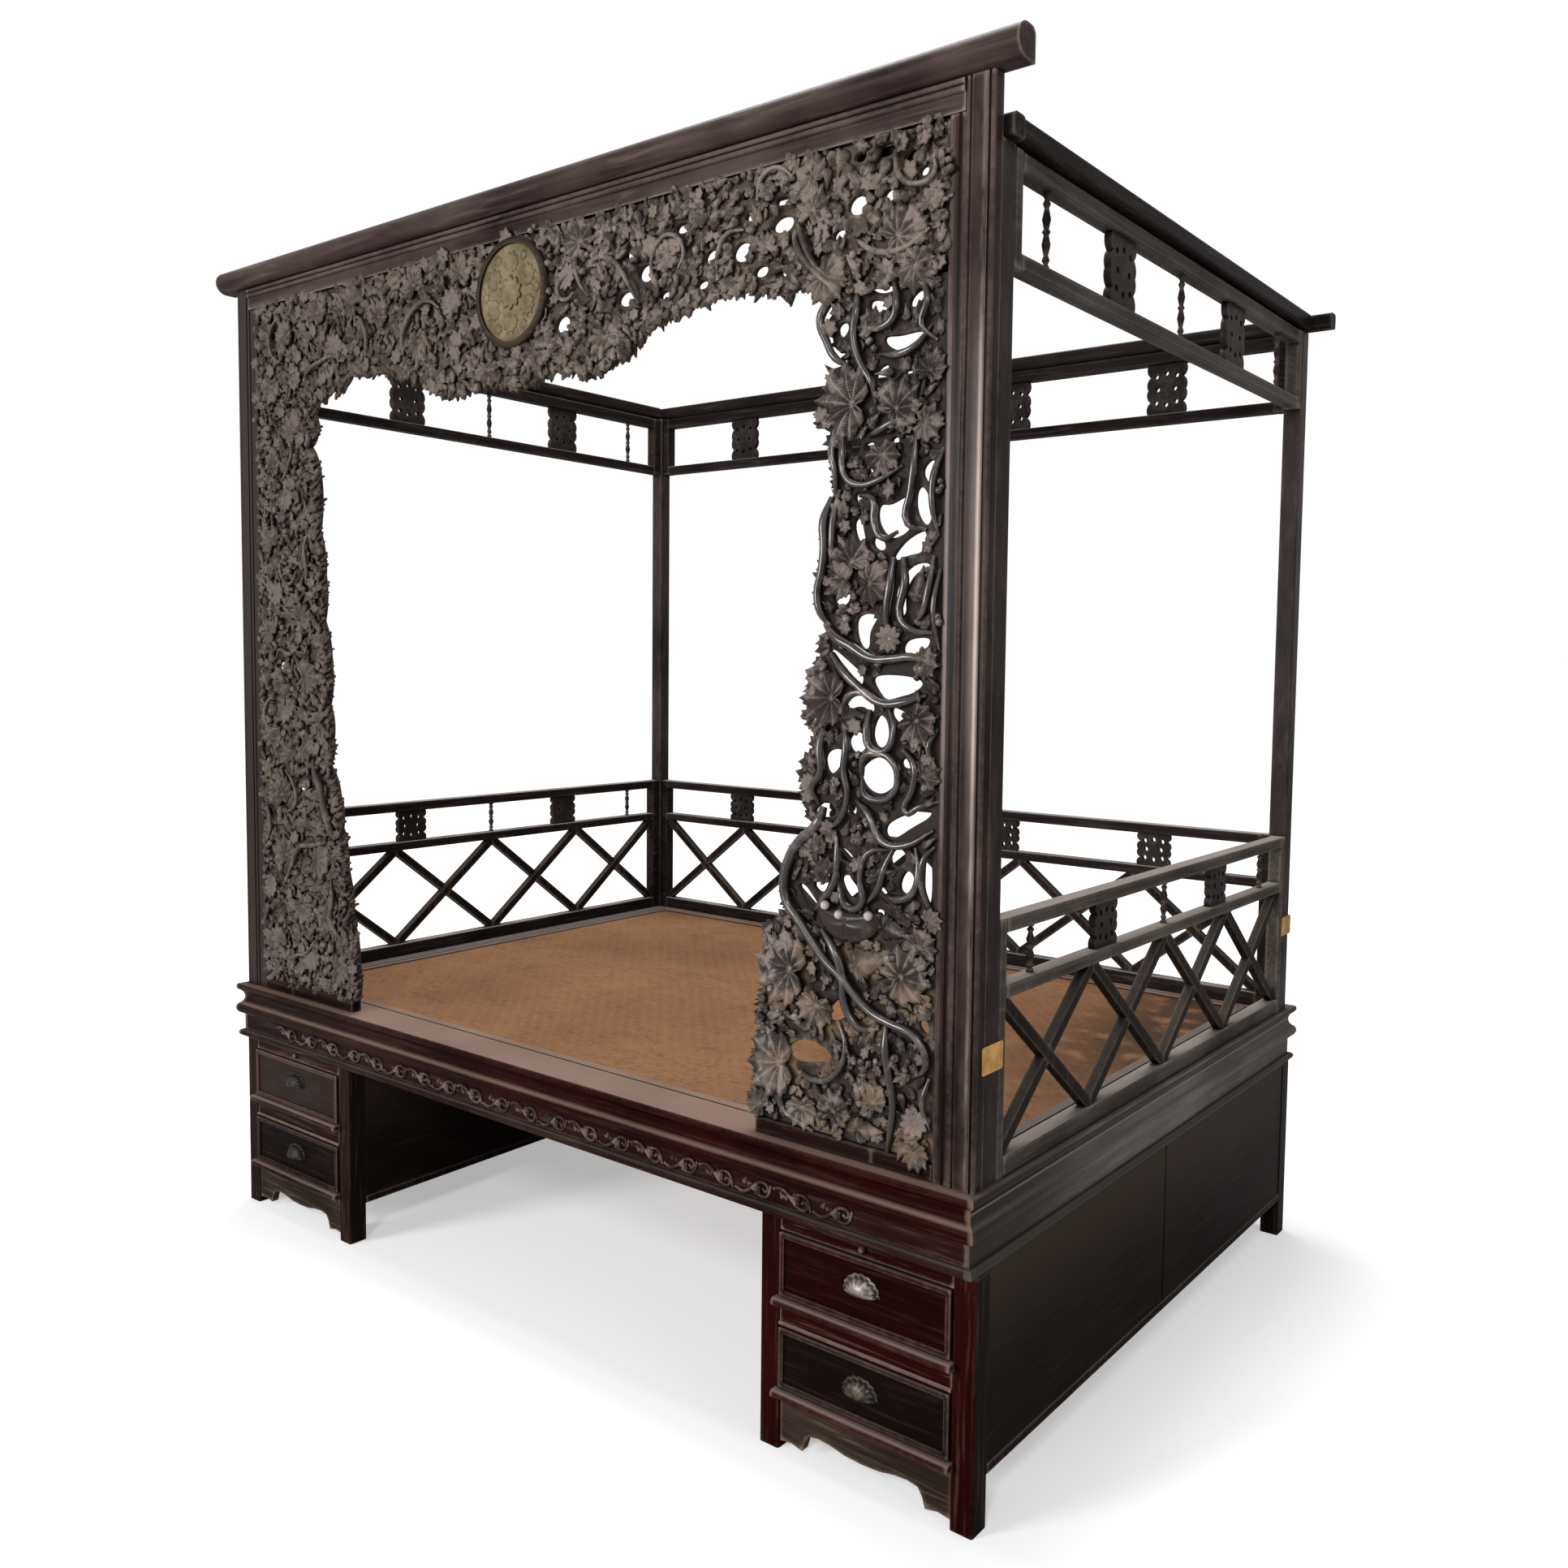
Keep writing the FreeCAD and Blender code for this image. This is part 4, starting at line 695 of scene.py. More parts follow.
# The front frame: two moulded posts, inner stiles, a reeded head rail under a round-nosed beam, and
# a sill under each carved board. All are lacquered like the posts.
# The posts' bands: a pale painted highlight down the stile's bead, a broad paler band and a bright painted
# highlight strip near each post's outer edge, strongest at middle height; near-black painted shade in the
# grooves and along the outer arris; and the left post's own darker tone.
frame_lacquer = wood_finish(
    "facade post lacquer", (0.0085, 0.0044, 0.0038), (0.041, 0.024, 0.021), (0.22, 0.17, 0.15), "z",
    rough=0.22, wear=0.8, shine=0.032, streak=(9, 2.0), streaks=0.03, middle=(0.9, 1.35, 1.55, 1.95),
    bands=(("X", -1.045, -0.95, 0.002, 0.9, (0.025, 0.0188, 0.0168)),
    ("X", 0.959, 0.968, 0.003, 0.6, (0.24, 0.192, 0.172)),
    ("X", 0.971, 0.979, 0.002, 0.95, (0.003, 0.0017, 0.0015)),
    ("X", 0.9915, 0.9975, 0.002, 0.95, (0.003, 0.0017, 0.0015)),
    ("X", 0.999, 1.033, 0.016, 0.5, (0.2, 0.15, 0.133)),
    ("X", 1.013, 1.0235, 0.005, 0.8, (0.46, 0.375, 0.335)),
    ("X", 1.0235, 1.0285, 0.002, 0.92, (0.004, 0.0025, 0.0022))))
facade_lacquer = wood_finish(
    "facade rail lacquer", (0.011, 0.0046, 0.0042), (0.058, 0.04, 0.0365), (0.2, 0.16, 0.142), "x",
    rough=0.32, wear=0.9, shine=0.04, streak=(14, 1.0), streaks=0.14)
sill_lacquer = wood_finish(
    "sill lacquer", (0.0055, 0.0019, 0.0016), (0.016, 0.007, 0.006), (0.12, 0.09, 0.075), "x", wear=0.7,
    shine=0.015, streaks=0.12)
give(frame_lacquer, "facade_posts", "facade_inner_stiles")
give(facade_lacquer, "facade_head_rail", "facade_beam")
give(sill_lacquer, "facade_sills")


# The carved head: one wide pierced board, full of vine leaves, blossoms and curling stems. The
# ground is the board itself, and the foliage stands out from it and over its lower edge.
head_carving = carved_finish(
    "head carving wood", (0.015, 0.0098, 0.0084), (0.06, 0.0438, 0.0378),
    (0.75, 0.37, (0.235, 0.19, 0.165)), dust_from=-0.7, dust_to=0.5, rough=0.34, shine=0.14, ground=-0.698,
    shade=0.42, patch=(3, 0.3, (0.12, 0.098, 0.07)))
give(head_carving, "facade_carving_left")


class Board:
    """Says where a carved board is solid, seen from the front."""

    def __init__(self, mesh):
        places = [v.co for v in mesh.vertices]
        self.tree = BVHTree.FromPolygons(places, [p.vertices for p in mesh.polygons])
        self.low = Vector([min(place[axis] for place in places) for axis in range(3)])
        self.high = Vector([max(place[axis] for place in places) for axis in range(3)])

    def solid(self, x, z):
        return self.tree.ray_cast(Vector((x, -1, z)), Vector((0, 1, 0)), 2)[0] is not None

    def cover(self, x, z, reach):
        """The share of a round patch that lies over solid board."""
        count = 8
        found = 0
        for index in range(count):
            angle = math.tau * index / count
            found += self.solid(x + reach * math.sin(angle), z + reach * math.cos(angle))
        return found / count


def scatter(board, spacing, tries, taken, need, reach):
    """Places on a board that keep their distance from each other and off the piercings."""
    found = []
    for index in range(tries):
        x = random.uniform(board.low.x, board.high.x)
        z = random.uniform(board.low.z, board.high.z)
        if any((x - px) ** 2 + (z - pz) ** 2 < max(spacing, pr) ** 2 for px, pz, pr in taken):
            continue
        if not board.solid(x, z) or board.cover(x, z, spacing * reach) < need:
            continue
        taken.append((x, z, spacing))
        found.append((x, z))
    return found


def flow(x, z):
    """The way the foliage leans at a place, in degrees from upright."""
    fine_swing = 220
    broad_swing = 200
    return (noise.noise(Vector((x * 6.0, 3.1, z * 6.0))) * fine_swing
            + noise.noise(Vector((x * 2.0, 9.7, z * 2.0))) * broad_swing)


fan_outline = (
    (0.0, 1.0), (0.095, 0.76), (0.19, 0.97), (0.285, 0.73), (0.38, 0.9), (0.48, 0.66), (0.58, 0.78),
    (0.68, 0.54), (0.78, 0.6), (0.9, 0.32), (1.0, 0.16))
fan_axes = (0.0, 0.19, 0.38, 0.57, 0.77, 0.96)
big_vine = leaf_mesh(
    "large vine leaf", fan_outline, fan_axes, spokes=64, rings=5, teeth=21, bite=0.16, dome=0.17, lift=0.03,
    thick=0.16)
big_blade = leaf_mesh(
    "long blade leaf", blade_outline, blade_axes, spokes=36, rings=5, teeth=11, bite=0.26, dome=0.15,
    lift=-0.08, thick=0.18)
bloom_outline = tuple((k / 10, 1.0 if k % 2 == 0 else 0.72) for k in range(11))
bloom = leaf_mesh(
    "blossom", bloom_outline, (0.0, 0.2, 0.4, 0.6, 0.8, 1.0), spokes=40, rings=4, teeth=5, bite=0,
    dome=0.12, lift=0.16, thick=0.2, veins=0.6)
small_bloom_outline = tuple((k / 6, 1.0 if k % 2 == 0 else 0.7) for k in range(7))
small_bloom = leaf_mesh(
    "small blossom", small_bloom_outline, (0.0, 0.333, 0.667, 1.0), spokes=12, rings=2, teeth=3, bite=0,
    dome=0.1, lift=0.2, thick=0.22, veins=0.45)
berry_shape = bmesh.new()
bmesh.ops.create_icosphere(berry_shape, subdivisions=1, radius=1.0)
berry = mesh_of("berry", berry_shape)


def leaf(x, z, turn, size, narrow=1.0, kind=big_vine):
    """A large leaf in millimetres: a vine leaf, if no other kind is named."""
    return kind, x / 1000, z / 1000, turn, size / 1000, narrow


def foliage(name, board, seed, spacing, tries, large, runs, ground, finish, sizes, need, reach=0.5,
            base=None, clear=(), rim=()):
    """Fills a board with foliage: the large leaves first, then small ones, buds and stems. The
    clear places are its piercings, and the rim has leaves that turn over the board's edge."""
    random.seed(seed)
    shape = bmesh.new()
    shape.loops.layers.uv.new("vein")
    if base is not None:
        add_mesh(shape, base)
    head_rail_below = 2134
    frame_gap = 4
    hole_gap = 2
    left_end = board.low.x * 1000 + frame_gap
    right_end = board.high.x * 1000 - frame_gap
    taken = [(x / 1000, z / 1000, (wide + high) / 2000 + 0.006) for x, z, wide, high in clear]
    for kind, x, z, turn, size, narrow in (leaf(*row) for row in large):
        lay(shape, kind, x, ground - 0.006, z, turn, size, narrow, random.uniform(-8, 4),
            random.uniform(-8, 8), 0.7)
        taken.append((x, z, size * 0.55))
    for run in runs:
        taken.extend((x, z, radius) for x, y, z, radius in run)
    for x, z in scatter(board, spacing, tries, taken, need, reach):
        size = random.uniform(*sizes)
        pick = random.random()
        y = ground - random.uniform(0.0, 0.006)
        turn = flow(x, z) + random.uniform(-55, 55)
        tip_x = (x + size * 0.8 * math.sin(math.radians(turn))) * 1000
        tip_z = (z + size * 0.8 * math.cos(math.radians(turn))) * 1000
        outside = not (left_end < tip_x < right_end) or tip_z > head_rail_below
        over_hole = any(
            math.hypot((tip_x - hole_x) / (wide + hole_gap), (tip_z - hole_z) / (high + hole_gap)) < 1
            for hole_x, hole_z, wide, high in clear)
        if outside or over_hole:
            turn += 180
        if pick < 0.5:
            lay(shape, small_vine, x, y, z, turn, size, random.uniform(0.6, 0.95),
                random.uniform(-34, 20), random.uniform(-32, 32), 0.9)
        elif pick < 0.88:
            lay(shape, small_blade, x, y - 0.002, z, turn, size * 1.3, random.uniform(0.8, 1.4),
                random.uniform(-30, 18), random.uniform(-34, 34))
        elif pick < 0.95:
            lay(shape, small_bloom, x, y - 0.002, z, turn, size * 0.72, 1.0,
                random.uniform(-15, 15), random.uniform(-15, 15))
        else:
            for index in range(3):
                angle = random.uniform(0, 360)
                lay(shape, berry, x + 0.008 * math.sin(angle), y - 0.003, z + 0.008 * math.cos(angle),
                    0, random.uniform(0.006, 0.0085))
    for x, z, turn, lean in rim:
        kind = small_vine if random.random() < 0.6 else small_blade
        lay(shape, kind, x, ground + random.uniform(0.0, 0.008), z, turn + random.uniform(-40, 40),
            random.uniform(0.015, 0.024), random.uniform(0.7, 1.1), random.uniform(-20, 10),
            lean + random.uniform(-20, 20), 1.0)
    add_mesh(shape, join_stems(name + " stems", runs))
    return settle(name, shape, finish, "bed")


def pairs(*numbers):
    """(x, z) points from a plain row of numbers."""
    return list(zip(numbers[::2], numbers[1::2]))


def run_of(y, thick, *numbers):
    """A stem in millimetres: its thickness, then its (x, z) points. It thins towards its end, and
    both its ends dive into the board."""
    points = pairs(*numbers)
    last = len(points) - 1
    run = []
    for index, (x, z) in enumerate(points):
        tip = index in (0, last)
        run.append((x / 1000, y + 0.005 if tip else y - 0.003 * math.sin(math.pi * index / last), z / 1000,
                    thick / 1000 * (1 - 0.35 * index / last) * (0.6 if tip else 1)))
    return run


def pierced_board(name, outline, holes, middle, thick, soften):
    """A board sawn to an outline and pierced, its edges rounded over: (x, z) points in mm."""
    line = bpy.data.curves.new(name, "CURVE")
    line.dimensions = "2D"
    line.fill_mode = "BOTH"
    line.extrude = thick / 2 - soften
    line.bevel_depth = soften
    line.bevel_resolution = 2
    line.offset = -soften
    for points in (outline, *holes):
        spline = line.splines.new("NURBS")
        spline.points.add(len(points) - 1)
        for point, (x, z) in zip(spline.points, points):
            point.co = (x / 1000, z / 1000, 0, 1)
        spline.use_cyclic_u = True
        spline.order_u = 3
        spline.resolution_u = 4
    mesh = mesh_of_curve(name, line)
    shape = bmesh.new()
    shape.from_mesh(mesh)
    bmesh.ops.remove_doubles(shape, verts=shape.verts, dist=1e-5)
    bmesh.ops.transform(shape, verts=shape.verts, matrix=Matrix.Translation((0, middle, 0))
                        @ Matrix.Rotation(math.pi / 2, 4, "X"))
    bmesh.ops.recalc_face_normals(shape, faces=shape.faces)
    shape.to_mesh(mesh)
    shape.free()
    return mesh


def oval(x, z, wide, high):
    """A small piercing as cut with a fret saw, not quite round."""
    return [(x + wide * math.sin(math.tau * k / 7) * (1.12 if k % 2 else 0.98),
             z + high * math.cos(math.tau * k / 7) * (1.0 if k % 3 else 1.15)) for k in range(7)]


head_outline = pairs(
    957, 1915, 957, 1915, 957, 2140, 957, 2140, -957, 2140, -957, 2140, -957, 1915, -957, 1915, -780, 1915,
    -780, 1915, -742, 1903, -700, 1898, -686, 1908, -668, 1922, -640, 1914, -612, 1924, -592, 1938,
    -588, 1956, -560, 1948, -536, 1952, -508, 1938, -482, 1946, -456, 1930, -430, 1938, -404, 1918,
    -378, 1926, -352, 1902, -330, 1908, -304, 1884, -280, 1890, -262, 1862, -238, 1872, -206, 1862,
    -178, 1876, -150, 1868, -120, 1880, -92, 1864, -66, 1874, -38, 1858, -10, 1868, 18, 1856, 44, 1872,
    66, 1868, 88, 1884, 112, 1866, 136, 1874, 160, 1856, 184, 1868, 210, 1858, 234, 1870, 252, 1884,
    272, 1882, 290, 1898, 312, 1906, 330, 1926, 356, 1922, 380, 1940, 408, 1934, 436, 1950, 470, 1944,
    498, 1958, 530, 1948, 566, 1958, 590, 1940, 616, 1944, 640, 1926, 664, 1940, 690, 1934, 708, 1940,
    722, 1922, 742, 1915, 742, 1915)
head_holes = [
    (287, 2058, 19, 13), (320, 2017, 20, 15), (270, 1980, 22, 13), (101, 1958, 22, 16), (409, 2079, 17, 9),
    (478, 2019, 18, 12), (456, 1976, 14, 7), (546, 2015, 22, 16), (566, 2070, 14, 8), (588, 1977, 16, 9),
    (634, 2044, 24, 13), (632, 2082, 14, 7), (784, 2046, 19, 15), (749, 2007, 13, 9), (789, 2118, 12, 8),
    (837, 2118, 19, 10), (884, 2100, 13, 10), (908, 2073, 9, 7), (845, 2050, 12, 9), (825, 2084, 12, 7),
    (553, 2106, 12, 8), (640, 1968, 12, 9), (-640, 2060, 9, 7), (-520, 2010, 9, 7), (-790, 2000, 9, 7),
    (-184, 2017, 11, 7), (366, 1972, 12, 7)]
seat_x, seat_z = -30, 2034
seat_radius = 99
seat_points = 24
medallion_seat = [
    (seat_x + seat_radius * math.sin(math.tau * k / seat_points),
     seat_z + seat_radius * math.cos(math.tau * k / seat_points)) for k in range(seat_points)]
head_plank = pierced_board(
    "head board", head_outline, [oval(*hole) for hole in head_holes] + [medallion_seat], middle=-0.692,
    thick=0.012, soften=0.0025)
head_board = Board(head_plank)
head_ground = -0.7
head_large = (
    (705, 2098, -60, 44, 1.1), (703, 2050, 35, 42), (728, 1945, 140, 52), (868, 1982, 70, 58),
    (610, 2012, -35, 24), (925, 2020, 15, 30), (900, 1935, 150, 45), (362, 2098, 20, 38),
    (160, 2096, -20, 46), (380, 2035, 0, 30, 1, bloom), (225, 1920, 160, 46), (38, 1915, 200, 40),
    (125, 2040, 0, 28, 1, bloom), (-190, 2096, 15, 46), (-215, 2045, 0, 32, 1, bloom), (-330, 1985, 170, 44),
    (-345, 2095, -25, 46), (-470, 2050, 30, 44), (-560, 2094, -60, 46), (-630, 2010, 0, 32, 1, bloom),
    (-700, 2090, 20, 50), (-830, 2050, -30, 54), (-890, 1955, 190, 46), (-790, 1960, 0, 30, 1, bloom),
    (-265, 1905, 180, 40), (-105, 1900, 170, 38))
head_runs = [run_of(head_ground - 0.009, *run) for run in (
    (6.2, 180, 2050, 215, 2060, 250, 2048, 276, 2022, 296, 1993, 310, 1965),
    (5.5, 122, 2046, 106, 2030, 107, 2008, 128, 1997, 140, 2010),
    (5.2, 160, 2095, 152, 2060, 165, 2020, 178, 1998),
    (6, -385, 1962, -378, 1998, -358, 2030, -325, 2052, -285, 2056, -262, 2040),
    (5.5, -760, 1952, -725, 1972, -680, 1983, -635, 1990, -600, 1975),
    (5.2, -520, 1975, -505, 2005, -515, 2040, -540, 2060, -560, 2045),
    (7.5, 664, 2024, 676, 1998, 694, 1972, 722, 1945, 752, 1918),
    (6, 672, 2035, 688, 2004, 708, 1968, 738, 1936),
    (5, 345, 1995, 350, 2035, 375, 2065, 410, 2060, 425, 2030, 405, 2010),
    (5, 500, 1975, 505, 2015, 525, 2045, 556, 2048), (5, 585, 2090, 600, 2120, 635, 2130, 660, 2112),
    (4.8, -860, 2110, -885, 2070, -875, 2020, -845, 2000),
    (4.8, -640, 2125, -600, 2110, -585, 2070, -600, 2040), (6, 790, 1990, 830, 1965, 880, 1960, 925, 1985),
    (5.5, 860, 2110, 872, 2070, 905, 2050, 935, 2060, 930, 2090))]


def rim_leaves(board, count, first, last, start, step, stop, level, inset, turn, lean):
    """Leaf places along a board's free edge, found by walking in from the opening. The walk is
    upwards from places along x, or, on a level, sideways from heights."""
    found = []
    for index in range(count):
        along = first + (last - first) * index / (count - 1)
        place = start
        while (stop - place) * step > 0 and not board.solid(*((place, along) if level else (along, place))):
            place += step
        place += inset
        found.append(((place, along) if level else (along, place)) + (turn, lean))
    return found


head_rim = rim_leaves(
    head_board, 150, first=-0.775, last=0.74, start=1.845, step=0.003, stop=1.97, level=False, inset=0.004,
    turn=180, lean=0)
head_foliage = foliage(
    "carved_head_foliage", head_board, seed=11, spacing=0.0145, tries=14000, large=head_large,
    runs=head_runs, ground=head_ground, finish=head_carving, sizes=(0.016, 0.029), need=0.5,
    base=head_plank, clear=head_holes, rim=head_rim)
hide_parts("facade_carving_head")

# The left carved board: the same dense foliage down one side of the opening, fixed between the
# stile, the sill and the head. It has few large piercings, and its inner edge is all leaf tips.
left_board = Board(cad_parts["facade_carving_left"].data)
left_large = (
    (-800, 1845, -40, 46), (-890, 1770, 20, 44), (-830, 1690, 0, 30, 1, bloom), (-900, 1600, -30, 46),
    (-775, 1560, 80, 38), (-880, 1480, 0, 32, 1, bloom), (-780, 1420, 60, 42), (-905, 1390, -60, 42),
    (-765, 1290, 90, 48), (-845, 1210, 0, 34, 1, bloom), (-905, 1140, 15, 46), (-770, 1130, 110, 42),
    (-870, 1010, -20, 52), (-725, 870, 80, 55), (-855, 870, 0, 50), (-920, 790, 0, 30, 1, bloom),
    (-790, 760, 150, 48), (-690, 740, 60, 44), (-880, 660, -50, 48), (-750, 640, 0, 34, 1, bloom),
    (-650, 630, 100, 44))
left_runs = [run_of(head_ground - 0.009, *run) for run in (
    (9.5, -655, 925, -672, 960, -690, 1005, -700, 1040, -722, 1068, -742, 1100),
    (7, -690, 915, -740, 905, -790, 895, -830, 840, -870, 800),
    (5.5, -845, 975, -815, 985, -800, 1010, -820, 1050, -860, 1070),
    (5.5, -790, 1360, -820, 1340, -860, 1350, -890, 1330),
    (5, -760, 1500, -745, 1530, -755, 1580, -745, 1620), (5, -870, 1560, -850, 1520, -815, 1500, -800, 1530),
    (5, -850, 1740, -820, 1760, -800, 1800, -830, 1830), (5, -900, 1250, -930, 1210, -915, 1170, -880, 1165),
    (6, -640, 700, -665, 740, -660, 790, -675, 830), (5, -940, 900, -915, 930, -920, 970, -945, 990),
    (5, -840, 600, -810, 640, -770, 650, -735, 690))]
left_clear = [(-740, 1320, 13, 26), (-838, 1040, 12, 20)]
left_rim = rim_leaves(
    left_board, 130, first=0.572, last=1.912, start=-0.56, step=-0.003, stop=-0.82, level=True,
    inset=-0.002, turn=90, lean=-38)
foliage(
    "carved_left_foliage", left_board, seed=12, spacing=0.014, tries=14000, large=left_large,
    runs=left_runs, ground=head_ground, finish=head_carving, sizes=(0.015, 0.028), need=0.4,
    clear=left_clear, rim=left_rim)

# The right carved board: an open vine, cut right through. Thick stems loop from the sill to the
# head round the piercings, with broad leaves, a ribbed fruit and buds on them.
vine_wood = carved_finish(
    "open vine wood", (0.006, 0.0039, 0.0034), (0.027, 0.0182, 0.0158), (0.5, 0.62, (0.28, 0.222, 0.196)),
    dust_from=0.55, dust_to=1.0, rough=0.2, shine=0.2, ground=-0.698, shade=0.85, coated=0.6,
    patch=(0.8, 0.42, (0.22, 0.15, 0.09)))
fruit_wood = carved_finish(
    "carved fruit wood", (0.006, 0.0036, 0.0031), (0.02, 0.012, 0.01),
    (0.4, 0.4, (0.15, 0.112, 0.092)), dust_from=0.0, dust_to=1.0, rough=0.26, shine=0.2)


def opened(points, wider=1.08, taller=1.03, left=4):
    """A piercing cut a little wider than the light that shows through it from one side."""
    middle_x = sum(x for x, z in points) / len(points)
    middle_z = sum(z for x, z in points) / len(points)
    return [
        (middle_x + (x - middle_x) * wider - left, middle_z + (z - middle_z) * taller) for x, z in points]


vine_outline_points = pairs(
    957, 566, 957, 566, 957, 1945, 957, 1945, 716, 1945, 716, 1945, 728, 1922, 748, 1893, 730, 1882,
    722, 1868, 732, 1855, 752, 1836, 776, 1806, 728, 1802, 736, 1782, 726, 1768, 738, 1754, 714, 1736,
    712, 1722, 738, 1706, 744, 1690, 742, 1640, 744, 1606, 750, 1592, 733, 1566, 724, 1540, 727, 1510,
    721, 1480, 717, 1450, 724, 1420, 740, 1396, 734, 1385, 727, 1366, 728, 1350, 704, 1330, 694, 1300,
    700, 1280, 690, 1250, 714, 1235, 708, 1200, 699, 1175, 689, 1150, 694, 1120, 703, 1100, 700, 1082,
    714, 1070, 690, 1050, 668, 1025, 653, 1000, 650, 975, 654, 945, 668, 925, 655, 915, 620, 900, 607, 880,
    611, 850, 602, 830, 611, 800, 599, 770, 594, 740, 609, 720, 591, 690, 599, 660, 591, 630, 589, 600,
    592, 566, 592, 566)
vine_holes = [opened(pairs(*points)) for points in (
    (812, 1926, 840, 1920, 866, 1920, 862, 1906, 838, 1904, 818, 1914),
    (815, 1898, 838, 1894, 852, 1882, 842, 1870, 828, 1873, 815, 1884),
    (892, 1890, 905, 1900, 918, 1898, 912, 1885, 902, 1875, 889, 1879),
    (752, 1868, 767, 1872, 775, 1862, 765, 1847, 754, 1852),
    (844, 1840, 870, 1836, 905, 1840, 918, 1832, 905, 1822, 885, 1818, 870, 1814, 847, 1827),
    (828, 1785, 838, 1795, 852, 1796, 850, 1780, 842, 1765, 829, 1770),
    (868, 1770, 885, 1784, 898, 1782, 893, 1768, 872, 1763),
    (781, 1692, 800, 1696, 801, 1675, 792, 1659, 778, 1664), (808, 1680, 826, 1681, 826, 1667, 809, 1666),
    (915, 1628, 930, 1646, 943, 1640, 941, 1612, 930, 1607), (860, 1684, 873, 1684, 873, 1673, 860, 1673),
    (816, 1646, 834, 1647, 832, 1634, 818, 1633), (790, 1604, 806, 1606, 808, 1590, 793, 1588),
    (838, 1585, 858, 1580, 888, 1596, 888, 1575, 878, 1560, 898, 1550, 888, 1538, 865, 1530, 848, 1540,
     836, 1560), (907, 1600, 916, 1607, 928, 1595, 936, 1565, 930, 1547, 916, 1553, 906, 1575),
    (872, 1510, 890, 1528, 920, 1541, 926, 1530, 918, 1506, 895, 1505, 877, 1497, 866, 1499),
    (827, 1533, 838, 1534, 850, 1523, 850, 1514, 838, 1513, 827, 1521),
    (790, 1562, 803, 1566, 808, 1545, 814, 1520, 808, 1511, 799, 1525, 790, 1545),
    (928, 1490, 906, 1490, 887, 1477, 872, 1453, 869, 1420, 880, 1411, 893, 1415, 890, 1440, 898, 1464,
     913, 1479, 933, 1483), (752, 1450, 770, 1456, 784, 1446, 778, 1431, 762, 1427, 752, 1436),
    (796, 1408, 815, 1416, 839, 1411, 829, 1398, 822, 1385, 823, 1361, 808, 1361, 798, 1380),
    (886, 1361, 896, 1376, 936, 1378, 932, 1364, 915, 1351, 893, 1349),
    (746, 1358, 757, 1358, 786, 1337, 810, 1319, 808, 1304, 794, 1303, 770, 1326, 748, 1345),
    (829, 1315, 852, 1320, 900, 1318, 926, 1309, 905, 1293, 880, 1287, 856, 1280, 843, 1292),
    (777, 1271, 791, 1285, 810, 1287, 829, 1277, 833, 1264, 823, 1260, 809, 1270, 796, 1268, 782, 1261),
    (782, 1214, 797, 1229, 811, 1227, 821, 1211, 811, 1197, 793, 1195),
    (832, 1236, 842, 1258, 856, 1253, 863, 1230, 856, 1208, 840, 1206, 832, 1220),
    (736, 1186, 750, 1199, 776, 1199, 772, 1180, 756, 1160, 743, 1161),
    (810, 1170, 830, 1187, 850, 1191, 874, 1178, 880, 1158, 863, 1140, 845, 1133, 826, 1138, 813, 1152),
    (868, 1270, 886, 1266, 906, 1253, 900, 1240, 881, 1245, 868, 1256),
    (886, 1190, 906, 1193, 908, 1178, 890, 1175), (912, 1251, 932, 1250, 943, 1241, 940, 1228, 920, 1231),
    (718, 1100, 740, 1115, 753, 1110, 763, 1093, 736, 1087, 718, 1090),
    (778, 1109, 801, 1113, 800, 1095, 782, 1094),
    (860, 1082, 872, 1093, 901, 1106, 938, 1120, 943, 1106, 906, 1085, 881, 1067, 862, 1067),
    (869, 1040, 885, 1053, 899, 1041, 896, 1028, 880, 1019, 870, 1025),
    (889, 1001, 900, 1018, 913, 1012, 916, 990, 905, 979, 888, 984),
    (932, 1037, 941, 1043, 947, 1030, 947, 975, 940, 969, 932, 980),
    (756, 1036, 771, 1043, 786, 1037, 801, 1022, 790, 1016, 770, 1021, 754, 1030),
    (773, 993, 786, 999, 801, 992, 808, 974, 802, 962, 789, 964, 778, 978),
    (716, 978, 735, 991, 748, 998, 748, 985, 738, 964, 723, 967),
    (686, 973, 699, 973, 716, 955, 726, 942, 718, 933, 706, 940, 693, 958),
    (841, 986, 856, 988, 869, 971, 870, 959, 856, 959, 845, 970), (841, 949, 859, 951, 857, 939, 846, 937),
    (667, 695, 690, 713, 720, 716, 756, 701, 750, 688, 720, 679, 690, 674, 669, 682),
    (745, 766, 765, 791, 785, 800, 794, 776, 775, 761, 756, 755), (925, 783, 944, 790, 947, 766, 935, 768))]
vine_ground = -0.699
vine_board = pierced_board(
    "vine board", vine_outline_points, vine_holes, middle=-0.6925, thick=0.011, soften=0.003)
right_board = Board(vine_board)
vine_clear = []
for points in vine_holes:
    across_hole = [x for x, z in points]
    up_hole = [z for x, z in points]
    vine_clear.append((
        (min(across_hole) + max(across_hole)) / 2, (min(up_hole) + max(up_hole)) / 2,
        (max(across_hole) - min(across_hole)) / 2, (max(up_hole) - min(up_hole)) / 2))
